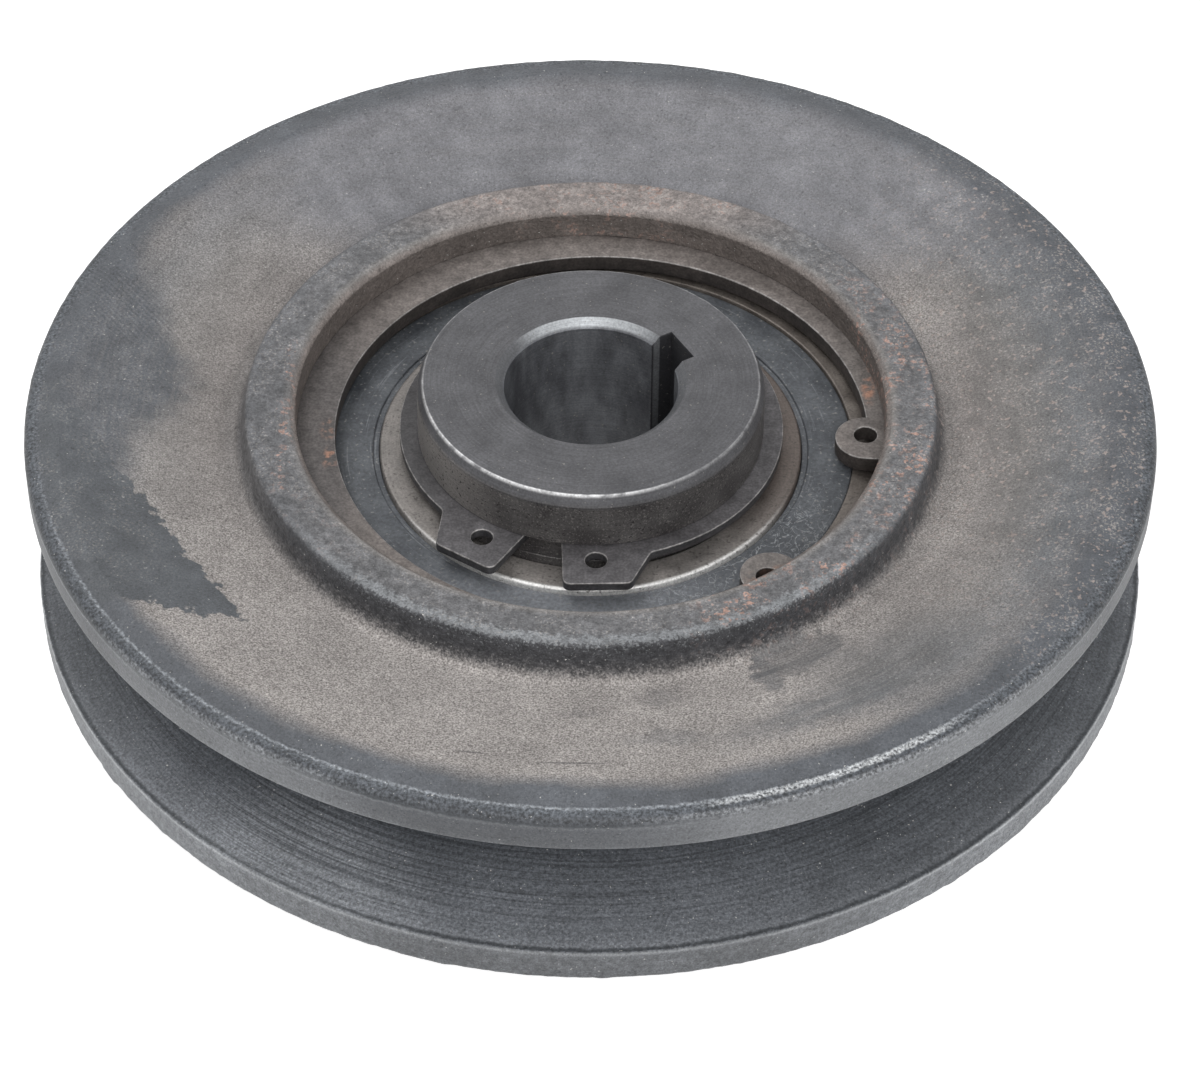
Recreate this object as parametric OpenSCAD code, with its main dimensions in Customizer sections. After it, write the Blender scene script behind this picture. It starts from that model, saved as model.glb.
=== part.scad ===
/* [Rim and groove] */
// Outer diameter of the rim
rim_d = 130; // [120:1:160]
// Overall width across the two raised bands
rim_w = 27; // [26:0.5:32]
// How far the outer corner of the rim lies below the raised band
rim_edge_drop = 0.7; // [0.3:0.1:1.2]
// Rounding of the outer corner of the rim
rim_edge_round = 1.1; // [0.4:0.1:1.4]
// Distance from the outer face in to the crest of the raised band
band_inset = 4; // [2.5:0.5:6]
// Width of the belt groove at the outer face
groove_w = 16.8; // [14:0.2:18]
// Depth of the belt groove
groove_depth = 14.5; // [12:0.5:16]
// Angle between the two flanks of the groove
groove_angle = 38; // [30:1:40]
// Rounding at the corners of the groove floor
groove_floor_round = 1.5; // [0.5:0.1:2]
// Rounding where the groove meets the outer face
groove_lip_round = 0.4; // [0.2:0.1:0.8]

/* [Web and boss] */
// Outer diameter of the boss at its end face
boss_d = 79.5; // [76:0.5:84]
// How far the boss face lies below the raised band
boss_drop = 0.3; // [0:0.1:1]
// Depth of the dished web where it meets the boss
dish_drop = 5.2; // [3:0.1:6]
// Outward draft of the cast boss wall
boss_draft = 0.9; // [0.5:0.1:2]
// Fillet between the web and the boss
boss_fillet = 1.7; // [1:0.1:3]
// Rounding of the outer edge of the boss
boss_round = 0.6; // [0.4:0.1:1.6]
// Lead-in chamfer at the mouth of the bearing bore
mouth_chamfer = 0.7; // [0.3:0.1:1]
// Inner diameter of the shoulder that the outer ring sits on
shoulder_d = 62; // [61.5:0.1:63]

/* [Ball bearing] */
// Outside diameter of the bearing
bearing_d = 68; // [67:0.2:69]
// Bore of the bearing
bearing_bore = 40; // [39:0.2:41]
// Width of the bearing
bearing_w = 15; // [14.6:0.1:15.6]
// Depth of the bearing face below the raised band
bearing_depth = 7.2; // [7:0.1:8]
// Corner chamfer of the bearing rings
ring_chamfer = 0.9; // [0.4:0.1:1]
// Radial thickness of the inner ring at its shoulder
inner_ring_wall = 4.5; // [4:0.1:4.8]
// Radial thickness of the outer ring at its shoulder
outer_ring_wall = 4.6; // [4.2:0.1:5]
// Ball diameter
ball_d = 7.938; // [7.5:0.1:8.1]
// Number of balls
ball_count = 12; // [9:1:12]
// Thickness of the pressed cage
cage_wall = 0.8; // [0.6:0.1:1]
// Radial width of the cage ribbon
cage_band = 2.6; // [2:0.1:3]
// Diameter of the cage rivets
rivet_d = 1.4; // [1:0.1:1.6]
// Depth of the seal face below the ring face
seal_recess = 0.35; // [0.2:0.05:0.6]
// Thickness of the seal
seal_wall = 1.2; // [0.8:0.1:1.4]

/* [Hub] */
// Height of the hub end above the raised band
hub_stand = 2.6; // [1:0.1:5]
// Gap between the hub's lower end and the surface below
hub_lift = 0.6; // [0.3:0.1:2]
// Bore for the shaft
hub_bore = 20; // [18:0.5:22]
// Chamfer at both ends of the bore
bore_chamfer = 1; // [0.4:0.1:1.4]
// Width of the keyway
key_w = 5; // [4:0.5:6]
// Depth of the keyway beyond the bore
key_depth = 2.3; // [1.8:0.1:2.8]
// Direction of the keyway, anticlockwise from +X
key_angle = 30.6; // [0:0.1:360]
// Height of the lead bevel at the hub end
hub_bevel_h = 1.4; // [0.8:0.1:1.8]
// Radial width of the lead bevel
hub_bevel_w = 0.65; // [0.3:0.05:1]
// Diameter of the flange under the inner ring
hub_flange_d = 47; // [44:0.5:48]

/* [Circlips] */
// Thickness of the internal circlip
bore_clip_t = 2.1; // [1.8:0.1:2.3]
// Depth of its groove in the bearing bore
bore_clip_groove = 1.5; // [1.2:0.1:1.8]
// Distance from the bearing face up to the internal circlip
bore_clip_gap = 0.8; // [0.4:0.1:1]
// Inside radius of the internal circlip
bore_clip_inner = 30.8; // [30:0.1:31.2]
// Offset of that inside circle towards the gap
bore_clip_offset = 1.4; // [1:0.1:1.6]
// Direction of the gap of the internal circlip
bore_clip_angle = 333; // [0:1:360]
// Angle from the gap's centre to the centre of each ear
bore_ear_angle = 24.4; // [18:0.2:30]
// Rounding radius of each ear
bore_ear_r = 3.5; // [3:0.1:3.8]
// Diameter of the plier holes in the ears
bore_ear_hole = 2.7; // [2:0.1:3]
// Thickness of the external circlip
hub_clip_t = 1.2; // [1:0.05:1.5]
// Depth of its groove in the hub
hub_clip_groove = 1.25; // [1:0.05:1.5]
// Height of that groove
hub_clip_slot = 2.4; // [1.8:0.1:2.6]
// Radial width of the external circlip's ring
hub_clip_band = 3.45; // [3:0.05:3.8]
// Offset of its outer circle away from the gap
hub_clip_offset = 0.3; // [0:0.1:0.6]
// Direction of the gap of the external circlip
hub_clip_angle = 254.4; // [0:0.1:360]
// Angle from the gap's centre to the centre of each lug
hub_lug_angle = 17.4; // [15:0.2:24]
// Height of the lugs above the hub surface
hub_lug_reach = 6; // [5:0.1:7]
// Width of the lugs
hub_lug_w = 7.6; // [6:0.1:8]
// Slope of the far side of each lug
hub_lug_flare = 26; // [10:1:35]
// Diameter of the plier holes in the lugs
hub_lug_hole = 2.5; // [1.8:0.1:2.8]

/* [Fits] */
// Radial clearance of pieces that are pressed together
seat_gap = 0.02; // [0.01:0.01:0.05]
// Clearance between the balls and the raceways
race_gap = 0.02; // [0.01:0.01:0.05]
// Clearance of the balls in the cage pockets
pocket_gap = 0.15; // [0.1:0.01:0.25]
// Running clearance of the seal lips on the inner ring
lip_gap = 0.06; // [0.03:0.01:0.1]
// Axial clearance of the circlips in their grooves
clip_gap = 0.05; // [0.03:0.01:0.1]

/* [Hidden] */
$fn = 96;
// Longer than any hole is deep, for cuts that run right through
through = 4 * rim_w;
// Segments in each rounded corner of a profile
round_steps = 6;

rim_r = rim_d / 2;
mid_z = rim_w / 2;
groove_floor_r = rim_r - groove_depth;
groove_floor_half = groove_w / 2 - groove_depth * tan(groove_angle / 2);
band_r = rim_r - band_inset;
boss_r = boss_d / 2;
shoulder_r = shoulder_d / 2;
boss_z = rim_w - boss_drop;

bearing_r = bearing_d / 2;
hub_r = bearing_bore / 2;
bearing_top = rim_w - bearing_depth;
bearing_bottom = bearing_top - bearing_w;
bearing_mid = bearing_top - bearing_w / 2;
pitch_r = (bearing_r + hub_r) / 2;
ball_r = ball_d / 2;
ball_step = 360 / ball_count;
// The raceways are a little more open than the balls
race_r = 1.04 * ball_r;
inner_ring_r = hub_r + seat_gap + inner_ring_wall;
outer_ring_r = bearing_r - seat_gap - outer_ring_wall;
inner_ring_round = 0.35;
cage_r_in = pitch_r - cage_band / 2;
cage_r_out = pitch_r + cage_band / 2;
pocket_r = ball_r + pocket_gap;
rivet_head_r = 0.85 * rivet_d;
rivet_head_h = 0.4 * rivet_d;
// The seal snaps into a groove just inside the face of the outer ring
seal_mouth_r = outer_ring_r + 1.2;
seal_bead = 0.45;
seal_bead_h = 0.7;
seal_lip_w = 0.7;
seal_lip_step = 0.3;

hub_top = rim_w + hub_stand;
bore_r = hub_bore / 2;
// A little of the hub's seat shows above the inner ring
hub_land = 0.3;
hub_slot_z = bearing_top + hub_land;
hub_slot_top = hub_slot_z + hub_clip_slot;
hub_slot_r = hub_r - hub_clip_groove;
hub_flange_chamfer = 0.8;

bore_clip_z = bearing_top + bore_clip_gap;
bore_slot_r = bearing_r + bore_clip_groove;
bore_clip_r = bore_slot_r - seat_gap;
bore_hole_r = bearing_r - 2.2;
bore_ear_shift = 0.5;
hub_clip_z = hub_slot_top - clip_gap - hub_clip_t;
hub_clip_in = hub_slot_r + seat_gap;
hub_clip_out = hub_clip_in + hub_clip_band;
hub_lug_r = hub_r + hub_lug_reach;
hub_hole_r = hub_r + 2.3;
hub_lug_round = 0.9;

function ball_name(k) = str("ball_", k < 10 ? "0" : "", k);

// Outlines are lists of corners [x, y, rounding]
function point(c) = [c[0], c[1]];
function unit(v) = v / norm(v);
function rounded_corner(a, b, c, r) =
    let(u = unit(a - b), v = unit(c - b))
    let(open = acos(u * v))
    let(centre = b + unit(u + v) * r / sin(open / 2))
    let(first = b + u * r / tan(open / 2) - centre)
    let(turn = sign(u[0] * v[1] - u[1] * v[0]) * (open - 180))
    [for (i = [0 : round_steps])
        let(s = turn * i / round_steps)
        centre + [first[0] * cos(s) - first[1] * sin(s), first[0] * sin(s) + first[1] * cos(s)]];
function rounded(corners) =
    let(n = len(corners))
    [for (i = [0 : n - 1])
        let(b = corners[i])
        each b[2] > 0
            ? rounded_corner(point(corners[(i + n - 1) % n]), point(b), point(corners[(i + 1) % n]), b[2])
            : [point(b)]];

// The same corners seen in a mirror at height 0, in the order that closes the outline
function mirrored(corners) =
    [for (i = [len(corners) - 1 : -1 : 0]) [corners[i][0], -corners[i][1], corners[i][2]]];

module revolve(corners) {
    rotate_extrude() polygon(rounded(corners));
}

module at_balls(turn = 0) {
    for (k = [1 : ball_count])
        rotate(turn + k * ball_step) translate([pitch_r, 0, bearing_mid]) children();
}

module tube(r_in, r_out, z, h) {
    translate([0, 0, z]) difference() {
        cylinder(r = r_out, h = h);
        translate([0, 0, -h]) cylinder(r = r_in, h = 3 * h);
    }
}

// One half of the casting, from the groove floor round the rim to the boss face
sheave_side = [
    [groove_floor_r, groove_floor_half, groove_floor_round],
    [rim_r, groove_w / 2, groove_lip_round],
    [rim_r, mid_z - rim_edge_drop, rim_edge_round],
    [band_r, mid_z, 0],
    [boss_r + boss_draft, mid_z - dish_drop, boss_fillet],
    [boss_r, mid_z - boss_drop, boss_round],
    [shoulder_r / 2, mid_z - boss_drop, 0]
];

// What is turned out of the casting for the bearing and the internal circlip
sheave_bore = [
    [0, -through, 0],
    [shoulder_r + mouth_chamfer + boss_drop + through, -through, 0],
    [shoulder_r, boss_drop + mouth_chamfer, 0],
    [shoulder_r, bearing_bottom, 0],
    [bearing_r, bearing_bottom, 0],
    [bearing_r, bore_clip_z - clip_gap, 0],
    [bore_slot_r, bore_clip_z - clip_gap, 0],
    [bore_slot_r, bore_clip_z + bore_clip_t + clip_gap, 0],
    [bearing_r, bore_clip_z + bore_clip_t + clip_gap, 0],
    [bearing_r, boss_z - mouth_chamfer, 0],
    [bearing_r + mouth_chamfer, boss_z, 0],
    [bearing_r + mouth_chamfer, through, 0],
    [0, through, 0]
];

module sheave() {
    color("#5d5f61") difference() {
        translate([0, 0, mid_z]) revolve(concat(mirrored(sheave_side), sheave_side));
        revolve(sheave_bore);
    }
}

hub_outline = [
    [bore_r / 2, hub_lift, 0],
    [hub_flange_d / 2 - hub_flange_chamfer, hub_lift, 0],
    [hub_flange_d / 2, hub_lift + hub_flange_chamfer, 0],
    [hub_flange_d / 2, bearing_bottom, 0],
    [hub_r, bearing_bottom, 0],
    [hub_r, hub_slot_z, 0],
    [hub_slot_r, hub_slot_z, 0],
    [hub_slot_r, hub_slot_top, 0],
    [hub_r, hub_slot_top, 0],
    [hub_r, hub_top - hub_bevel_h, 0],
    [hub_r - hub_bevel_w, hub_top, 0],
    [bore_r / 2, hub_top, 0]
];

module hub() {
    color("#55565a") difference() {
        revolve(hub_outline);
        translate([0, 0, -through / 2]) cylinder(r = bore_r, h = through);
        translate([0, 0, hub_top - bore_chamfer]) bore_lead();
        translate([0, 0, hub_lift + bore_chamfer]) mirror([0, 0, 1]) bore_lead();
        rotate(key_angle) translate([0, -key_w / 2, -through / 2])
            cube([bore_r + key_depth, key_w, through]);
    }
}

// Cone that opens the end of the bore at 45 degrees
module bore_lead() {
    cylinder(r1 = bore_r, r2 = bore_r + 2 * bore_chamfer, h = 2 * bore_chamfer);
}

module outer_ring() {
    h = bearing_w / 2;
    mouth = seal_recess + seal_wall;
    side = [
        [outer_ring_r, h - mouth, 0],
        [seal_mouth_r + seal_bead, h - mouth, 0],
        [seal_mouth_r + seal_bead, h - mouth + seal_bead_h, 0],
        [seal_mouth_r, h - mouth + seal_bead_h, 0],
        [seal_mouth_r, h, 0],
        [bearing_r - seat_gap - ring_chamfer, h, 0],
        [bearing_r - seat_gap, h - ring_chamfer, 0]
    ];
    color("#9b9790") translate([0, 0, bearing_mid]) rotate_extrude() difference() {
        polygon(rounded(concat(mirrored(side), side)));
        translate([pitch_r + ball_r + race_gap - race_r, 0]) circle(r = race_r);
    }
}

module inner_ring() {
    h = bearing_w / 2;
    side = [
        [hub_r + seat_gap, h - ring_chamfer, 0],
        [hub_r + seat_gap + ring_chamfer, h, 0],
        [inner_ring_r, h, inner_ring_round]
    ];
    color("#aaa398") translate([0, 0, bearing_mid]) rotate_extrude() difference() {
        polygon(rounded(concat(side, mirrored(side))));
        translate([pitch_r - ball_r - race_gap + race_r, 0]) circle(r = race_r);
    }
}

// Rubber seal with a thin lip on the inner ring and a bead in the outer ring
module seal() {
    h = bearing_w / 2 - seal_recess;
    low = h - seal_wall + seat_gap;
    lip = inner_ring_r + lip_gap;
    bead = seal_mouth_r + seal_bead - seat_gap;
    color("#43494e") revolve([
        [lip, low, 0],
        [bead, low, 0],
        [bead, low + seal_bead_h - 2 * seat_gap, 0],
        [seal_mouth_r - seat_gap, low + seal_bead_h - 2 * seat_gap, 0],
        [seal_mouth_r - seat_gap, h, 0],
        [lip + seal_lip_w, h, 0],
        [lip + seal_lip_w, h - seal_lip_step, 0],
        [lip, h - seal_lip_step, 0]
    ]);
}

module upper_seal() {
    translate([0, 0, bearing_mid]) seal();
}

module lower_seal() {
    translate([0, 0, bearing_mid]) mirror([0, 0, 1]) seal();
}

// Pressed ribbon that is flat between the balls and bulges over each of them
module cage_half() {
    color("#8d8a84") difference() {
        intersection() {
            tube(cage_r_in, cage_r_out, 0, pocket_r + cage_wall);
            union() {
                tube(cage_r_in - cage_wall, cage_r_out + cage_wall, 0, cage_wall);
                for (k = [1 : ball_count])
                    rotate(k * ball_step) translate([pitch_r, 0, 0]) sphere(r = pocket_r + cage_wall);
            }
        }
        for (k = [1 : ball_count]) {
            rotate(k * ball_step) translate([pitch_r, 0, 0]) sphere(r = pocket_r);
            rotate((k + 0.5) * ball_step) translate([pitch_r, 0, -cage_wall])
                cylinder(d = rivet_d + 2 * seat_gap, h = 3 * cage_wall);
        }
    }
}

module cage_upper() {
    translate([0, 0, bearing_mid]) cage_half();
}

module cage_lower() {
    translate([0, 0, bearing_mid]) mirror([0, 0, 1]) cage_half();
}

module cage_rivets() {
    color("#77746f") at_balls(ball_step / 2) for (s = [0, 1]) mirror([0, 0, s]) {
        cylinder(d = rivet_d, h = cage_wall + rivet_head_h);
        translate([0, 0, cage_wall]) cylinder(r = rivet_head_r, h = rivet_head_h);
    }
}

module ball(k) {
    color("#c9c9c6") rotate(k * ball_step) translate([pitch_r, 0, bearing_mid]) sphere(r = ball_r);
}

// Wedge from the axis out to r, half_angle to each side of +X
module sector(r, half_angle) {
    polygon([[0, 0], r / cos(half_angle) * [cos(half_angle), -sin(half_angle)],
        r / cos(half_angle) * [cos(half_angle), sin(half_angle)]]);
}

module bore_ear() {
    intersection() {
        circle(r = bore_clip_r);
        union() {
            translate([bore_hole_r, 0]) circle(r = bore_ear_r);
            translate([bore_hole_r, -bore_ear_r]) square([bore_clip_groove + bearing_r, 2 * bore_ear_r]);
        }
    }
}

module bore_circlip() {
    color("#6b625b") translate([0, 0, bore_clip_z]) rotate(bore_clip_angle)
        linear_extrude(bore_clip_t) difference() {
            union() {
                difference() {
                    circle(r = bore_clip_r);
                    translate([bore_clip_offset, 0]) circle(r = bore_clip_inner);
                    sector(2 * bore_clip_r, bore_ear_angle);
                }
                for (s = [-1, 1])
                    rotate(s * bore_ear_angle) translate([0, -s * bore_ear_shift]) bore_ear();
            }
            for (s = [-1, 1])
                rotate(s * bore_ear_angle) translate([bore_hole_r, 0]) circle(d = bore_ear_hole);
        }
}

// Lug with its straight side towards the gap at +Y and its sloping side away from it
module hub_lug() {
    half = hub_lug_w / 2;
    flare = (hub_lug_r - hub_clip_in) * tan(hub_lug_flare);
    polygon(rounded([
        [hub_slot_r - hub_clip_groove, half, 0],
        [hub_slot_r - hub_clip_groove, -half - flare, 0],
        [hub_clip_in, -half - flare, 0],
        [hub_lug_r, -half, hub_lug_round],
        [hub_lug_r, half, hub_lug_round]
    ]));
}

module shaft_circlip() {
    color("#4e4d4c") translate([0, 0, hub_clip_z]) rotate(hub_clip_angle) difference() {
        union() {
            linear_extrude(hub_clip_t) difference() {
                translate([-hub_clip_offset, 0]) circle(r = hub_clip_out);
                sector(2 * hub_clip_out, hub_lug_angle);
            }
            for (s = [-1, 1])
                rotate(s * hub_lug_angle) mirror([0, s > 0 ? 1 : 0, 0])
                    linear_extrude(hub_clip_t) hub_lug();
        }
        translate([0, 0, -hub_clip_t]) cylinder(r = hub_clip_in, h = 3 * hub_clip_t);
        for (s = [-1, 1])
            rotate(s * hub_lug_angle) translate([hub_hole_r, 0, -hub_clip_t])
                cylinder(d = hub_lug_hole, h = 3 * hub_clip_t);
    }
}

sheave();
hub();
outer_ring();
inner_ring();
upper_seal();
lower_seal();
cage_upper();
cage_lower();
cage_rivets();
bore_circlip();
shaft_circlip();
for (k = [1 : ball_count])
    ball(k);
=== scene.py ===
import math

import bmesh
import bpy
from mathutils import Matrix, Vector


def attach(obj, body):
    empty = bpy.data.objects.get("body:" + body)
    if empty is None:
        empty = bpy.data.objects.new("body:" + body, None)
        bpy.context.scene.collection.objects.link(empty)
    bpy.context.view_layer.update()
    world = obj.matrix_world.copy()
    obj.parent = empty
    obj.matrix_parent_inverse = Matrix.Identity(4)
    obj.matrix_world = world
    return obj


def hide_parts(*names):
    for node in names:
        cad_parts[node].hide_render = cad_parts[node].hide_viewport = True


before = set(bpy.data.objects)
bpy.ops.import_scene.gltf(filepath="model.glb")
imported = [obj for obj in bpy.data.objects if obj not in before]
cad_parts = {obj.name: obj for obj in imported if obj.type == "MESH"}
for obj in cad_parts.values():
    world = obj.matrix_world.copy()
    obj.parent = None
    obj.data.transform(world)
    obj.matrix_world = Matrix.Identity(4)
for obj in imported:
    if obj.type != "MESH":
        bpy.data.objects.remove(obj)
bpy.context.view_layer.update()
print("frame loaded with", len(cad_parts), "nodes")

mm = 0.001


# Colour and node helpers

def srgb(hexCode):
    parts = [int(hexCode[i:i + 2], 16) / 255 for i in (1, 3, 5)]
    return [c / 12.92 if c <= 0.04045 else ((c + 0.055) / 1.055) ** 2.4 for c in parts] + [1.0]


# Adds a node, sets its properties, links or sets its inputs by name or number, and returns the output that
# is used next; stops are a colour ramp's places and colours
def addNode(tree, kind, inputs=None, out=0, stops=None, **settings):
    node = tree.nodes.new(kind)
    for name, value in settings.items():
        setattr(node, name, value)
    for i, (place, colour) in enumerate(stops or []):
        marks = node.color_ramp.elements
        mark = marks[0] if i == 0 else marks[-1] if i == 1 else marks.new(place)
        mark.position = place
        mark.color = srgb(colour)
    for key, value in (inputs or {}).items():
        socket = node.inputs[key]
        if isinstance(value, bpy.types.NodeSocket):
            tree.links.new(value, socket)
        else:
            socket.default_value = value
    return node if out is None else node.outputs[out]


# Profiles and turned pieces

# Points of the arc that rounds one corner of an outline
def roundCorner(before, here, after, r, steps=5):
    u = (before - here).normalized()
    v = (after - here).normalized()
    opening = math.acos(max(-1, min(1, u.dot(v))))
    centre = here + (u + v).normalized() * (r / math.sin(opening / 2))
    first = here + u * (r / math.tan(opening / 2)) - centre
    turn = math.copysign(math.pi - opening, -(u.x * v.y - u.y * v.x))
    return [centre + Matrix.Rotation(turn * k / steps, 2) @ first for k in range(steps + 1)]


# Corners are (radius, height, rounding) in mm; step gives how finely a straight run is cut at a place
def profileLine(corners, step):
    path = []
    for i, (x, y, r) in enumerate(corners):
        here = Vector((x, y))
        if r > 0:
            path += roundCorner(Vector(corners[i - 1][:2]), here, Vector(corners[(i + 1) % len(corners)][:2]), r)
        else:
            path.append(here)
    line = []
    for a, b in zip(path, path[1:] + path[:1]):
        runs = max(1, round((b - a).length / step(*a.lerp(b, 0.5)))) if step else 1
        line += [a.lerp(b, k / runs) for k in range(runs)]
    return line


# Sweeps a closed profile round the axis, then roughens it and breaks chips out of it along its normals
def turnedTree():
    tree = bpy.data.node_groups.new("turnedShape", "GeometryNodeTree")
    sockets = {}
    for name, kind in (("Profile", "NodeSocketGeometry"), ("Segments", "NodeSocketInt"),
                       ("Grain height", "NodeSocketFloat"), ("Grain size", "NodeSocketFloat"),
                       ("Chip depth", "NodeSocketFloat"), ("Chip size", "NodeSocketFloat"),
                       ("Sharp angle", "NodeSocketFloat"), ("Material", "NodeSocketMaterial")):
        sockets[name] = tree.interface.new_socket(name, in_out="INPUT", socket_type=kind).identifier
    tree.interface.new_socket("Geometry", in_out="OUTPUT", socket_type="NodeSocketGeometry")
    given = addNode(tree, "NodeGroupInput", out=None).outputs
    line = addNode(tree, "GeometryNodeMeshToCurve", {"Mesh": given["Profile"]})
    circle = addNode(tree, "GeometryNodeCurvePrimitiveCircle", {"Resolution": given["Segments"], "Radius": 1.0})
    sweep = addNode(tree, "GeometryNodeCurveToMesh", {"Curve": circle, "Profile Curve": line})
    place = addNode(tree, "GeometryNodeInputPosition")
    roughShare = addNode(tree, "GeometryNodeInputNamedAttribute", {"Name": "rough"}, data_type="FLOAT")
    chipShare = addNode(tree, "GeometryNodeInputNamedAttribute", {"Name": "chips"}, data_type="FLOAT")
    density = addNode(tree, "ShaderNodeMath", {0: 1.0, 1: given["Grain size"]}, operation="DIVIDE")
    noise = addNode(tree, "ShaderNodeTexNoise", {"Vector": place, "Scale": density, "Detail": 3.0, "Roughness": 0.6})
    centred = addNode(tree, "ShaderNodeMath", {0: noise, 1: 0.5}, operation="SUBTRACT")
    height = addNode(tree, "ShaderNodeMath", {0: centred, 1: given["Grain height"]}, operation="MULTIPLY")
    grain = addNode(tree, "ShaderNodeMath", {0: height, 1: roughShare}, operation="MULTIPLY")
    density = addNode(tree, "ShaderNodeMath", {0: 1.0, 1: given["Chip size"]}, operation="DIVIDE")
    noise = addNode(tree, "ShaderNodeTexNoise", {"Vector": place, "Scale": density, "Detail": 2.0})
    chip = addNode(tree, "ShaderNodeMapRange", {"Value": noise, 1: 0.58, 2: 0.72})
    depth = addNode(tree, "ShaderNodeMath", {0: chip, 1: given["Chip depth"]}, operation="MULTIPLY")
    chips = addNode(tree, "ShaderNodeMath", {0: depth, 1: chipShare}, operation="MULTIPLY")
    total = addNode(tree, "ShaderNodeMath", {0: grain, 1: chips}, operation="SUBTRACT")
    normal = addNode(tree, "GeometryNodeInputNormal")
    push = addNode(tree, "ShaderNodeVectorMath", {0: normal, "Scale": total}, operation="SCALE")
    grained = addNode(tree, "GeometryNodeSetPosition", {"Geometry": sweep, "Offset": push})
    fold = addNode(tree, "GeometryNodeInputMeshEdgeAngle")
    smooth = addNode(tree, "ShaderNodeMath", {0: fold, 1: given["Sharp angle"]}, operation="LESS_THAN")
    shaded = addNode(tree, "GeometryNodeSetShadeSmooth", {"Geometry": grained, "Shade Smooth": smooth}, domain="EDGE")
    whole = addNode(tree, "GeometryNodeRealizeInstances", {"Geometry": shaded})
    dressed = addNode(tree, "GeometryNodeSetMaterial", {"Geometry": whole, "Material": given["Material"]})
    addNode(tree, "NodeGroupOutput", {"Geometry": dressed}, out=None)
    return tree, sockets


turnedShape, turnedSockets = turnedTree()


# Links a finished mesh, with doubled points merged and its faces turned to point outwards
def placeMesh(name, mesh):
    work = bmesh.new()
    work.from_mesh(mesh)
    bmesh.ops.remove_doubles(work, verts=work.verts, dist=1e-7)
    bmesh.ops.recalc_face_normals(work, faces=work.faces)
    work.to_mesh(mesh)
    work.free()
    piece = bpy.data.objects.new(name, mesh)
    bpy.context.scene.collection.objects.link(piece)
    return piece


# surface holds the grain's height and size and the chips' depth and size in mm; rough and chips give each
# profile point its share of them, from its radius and height
def turnedPiece(name, corners, material, segments=256, step=None, surface=None, rough=None, chips=None, sharp=28.0):
    surface = surface or {"grain": 0.0, "grainSize": 1.0, "chipDepth": 0.0, "chipSize": 1.0}
    line = profileLine(corners, step)
    mesh = bpy.data.meshes.new(name + "Profile")
    # The sweep runs along a circle of 1 m radius, so radii are written from there, and its down is +Y
    mesh.from_pydata([(p.x * mm - 1, -p.y * mm, 0) for p in line],
                     [(i, (i + 1) % len(line)) for i in range(len(line))], [])
    for label, share in (("rough", rough), ("chips", chips)):
        weight = mesh.attributes.new(label, "FLOAT", "POINT")
        weight.data.foreach_set("value", [share(p.x, p.y) if share else 0.0 for p in line])
    source = bpy.data.objects.new(name + "Profile", mesh)
    bpy.context.scene.collection.objects.link(source)
    modifier = source.modifiers.new("turned", "NODES")
    modifier.node_group = turnedShape
    for label, value in (("Segments", segments), ("Grain height", surface["grain"] * mm),
                         ("Grain size", surface["grainSize"] * mm), ("Chip depth", surface["chipDepth"] * mm),
                         ("Chip size", surface["chipSize"] * mm), ("Sharp angle", math.radians(sharp)),
                         ("Material", material)):
        modifier[turnedSockets[label]] = value
    ready = source.evaluated_get(bpy.context.evaluated_depsgraph_get())
    result = bpy.data.meshes.new_from_object(ready)
    bpy.data.objects.remove(source)
    return placeMesh(name, result)


# Makes piece the visible form of a CAD node on its body
def dress(piece, node, body):
    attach(piece, body)
    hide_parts(node)


# Camera, at the angle worked out from the rim's ellipses; lengths in rim radii and mm
view = {
    "elevation": 42.008, "roll": 0.5676, "distance": 7.0567, "aimX": 0.0179, "aimY": -0.2428,
    "rimRadius": 65.0, "rimHeight": 26.52, "focalPixels": 3980.98, "framePixels": 1200, "sensor": 36.0,
}


def placeCamera():
    e = math.radians(view["elevation"])
    back = Vector((0, -math.cos(e), math.sin(e)))
    eye = back * view["distance"]
    target = Vector((view["aimX"], 0, 0)) + view["aimY"] * Vector((0, math.sin(e), math.cos(e)))
    look = (target - eye).normalized()
    right = look.cross(Vector((0, 0, 1))).normalized()
    up = right.cross(look)
    turn = Matrix.Rotation(-math.radians(view["roll"]), 3, look)
    right, up = turn @ right, turn @ up
    data = bpy.data.cameras.new("photoView")
    data.sensor_fit = "HORIZONTAL"
    data.sensor_width = view["sensor"]
    data.lens = view["focalPixels"] / view["framePixels"] * view["sensor"]
    data.clip_start = 0.01
    camera = bpy.data.objects.new("photoView", data)
    bpy.context.scene.collection.objects.link(camera)
    axes = Matrix((right, up, -look)).transposed().to_4x4()
    axes.translation = eye * view["rimRadius"] * mm + Vector((0, 0, view["rimHeight"] * mm))
    camera.matrix_world = axes
    bpy.context.scene.camera = camera


placeCamera()
print("camera placed")


# Materials: patterns lie on Object coordinates turned to mm, so each scale is one over a real size

def newMaterial(name, roughness, metallic=0.0, specular=0.5):
    material = bpy.data.materials.new(name)
    material.use_nodes = True
    shader = material.node_tree.nodes["Principled BSDF"]
    shader.inputs["Roughness"].default_value = roughness
    shader.inputs["Metallic"].default_value = metallic
    shader.inputs["Specular IOR Level"].default_value = specular
    return material, material.node_tree, shader


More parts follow.
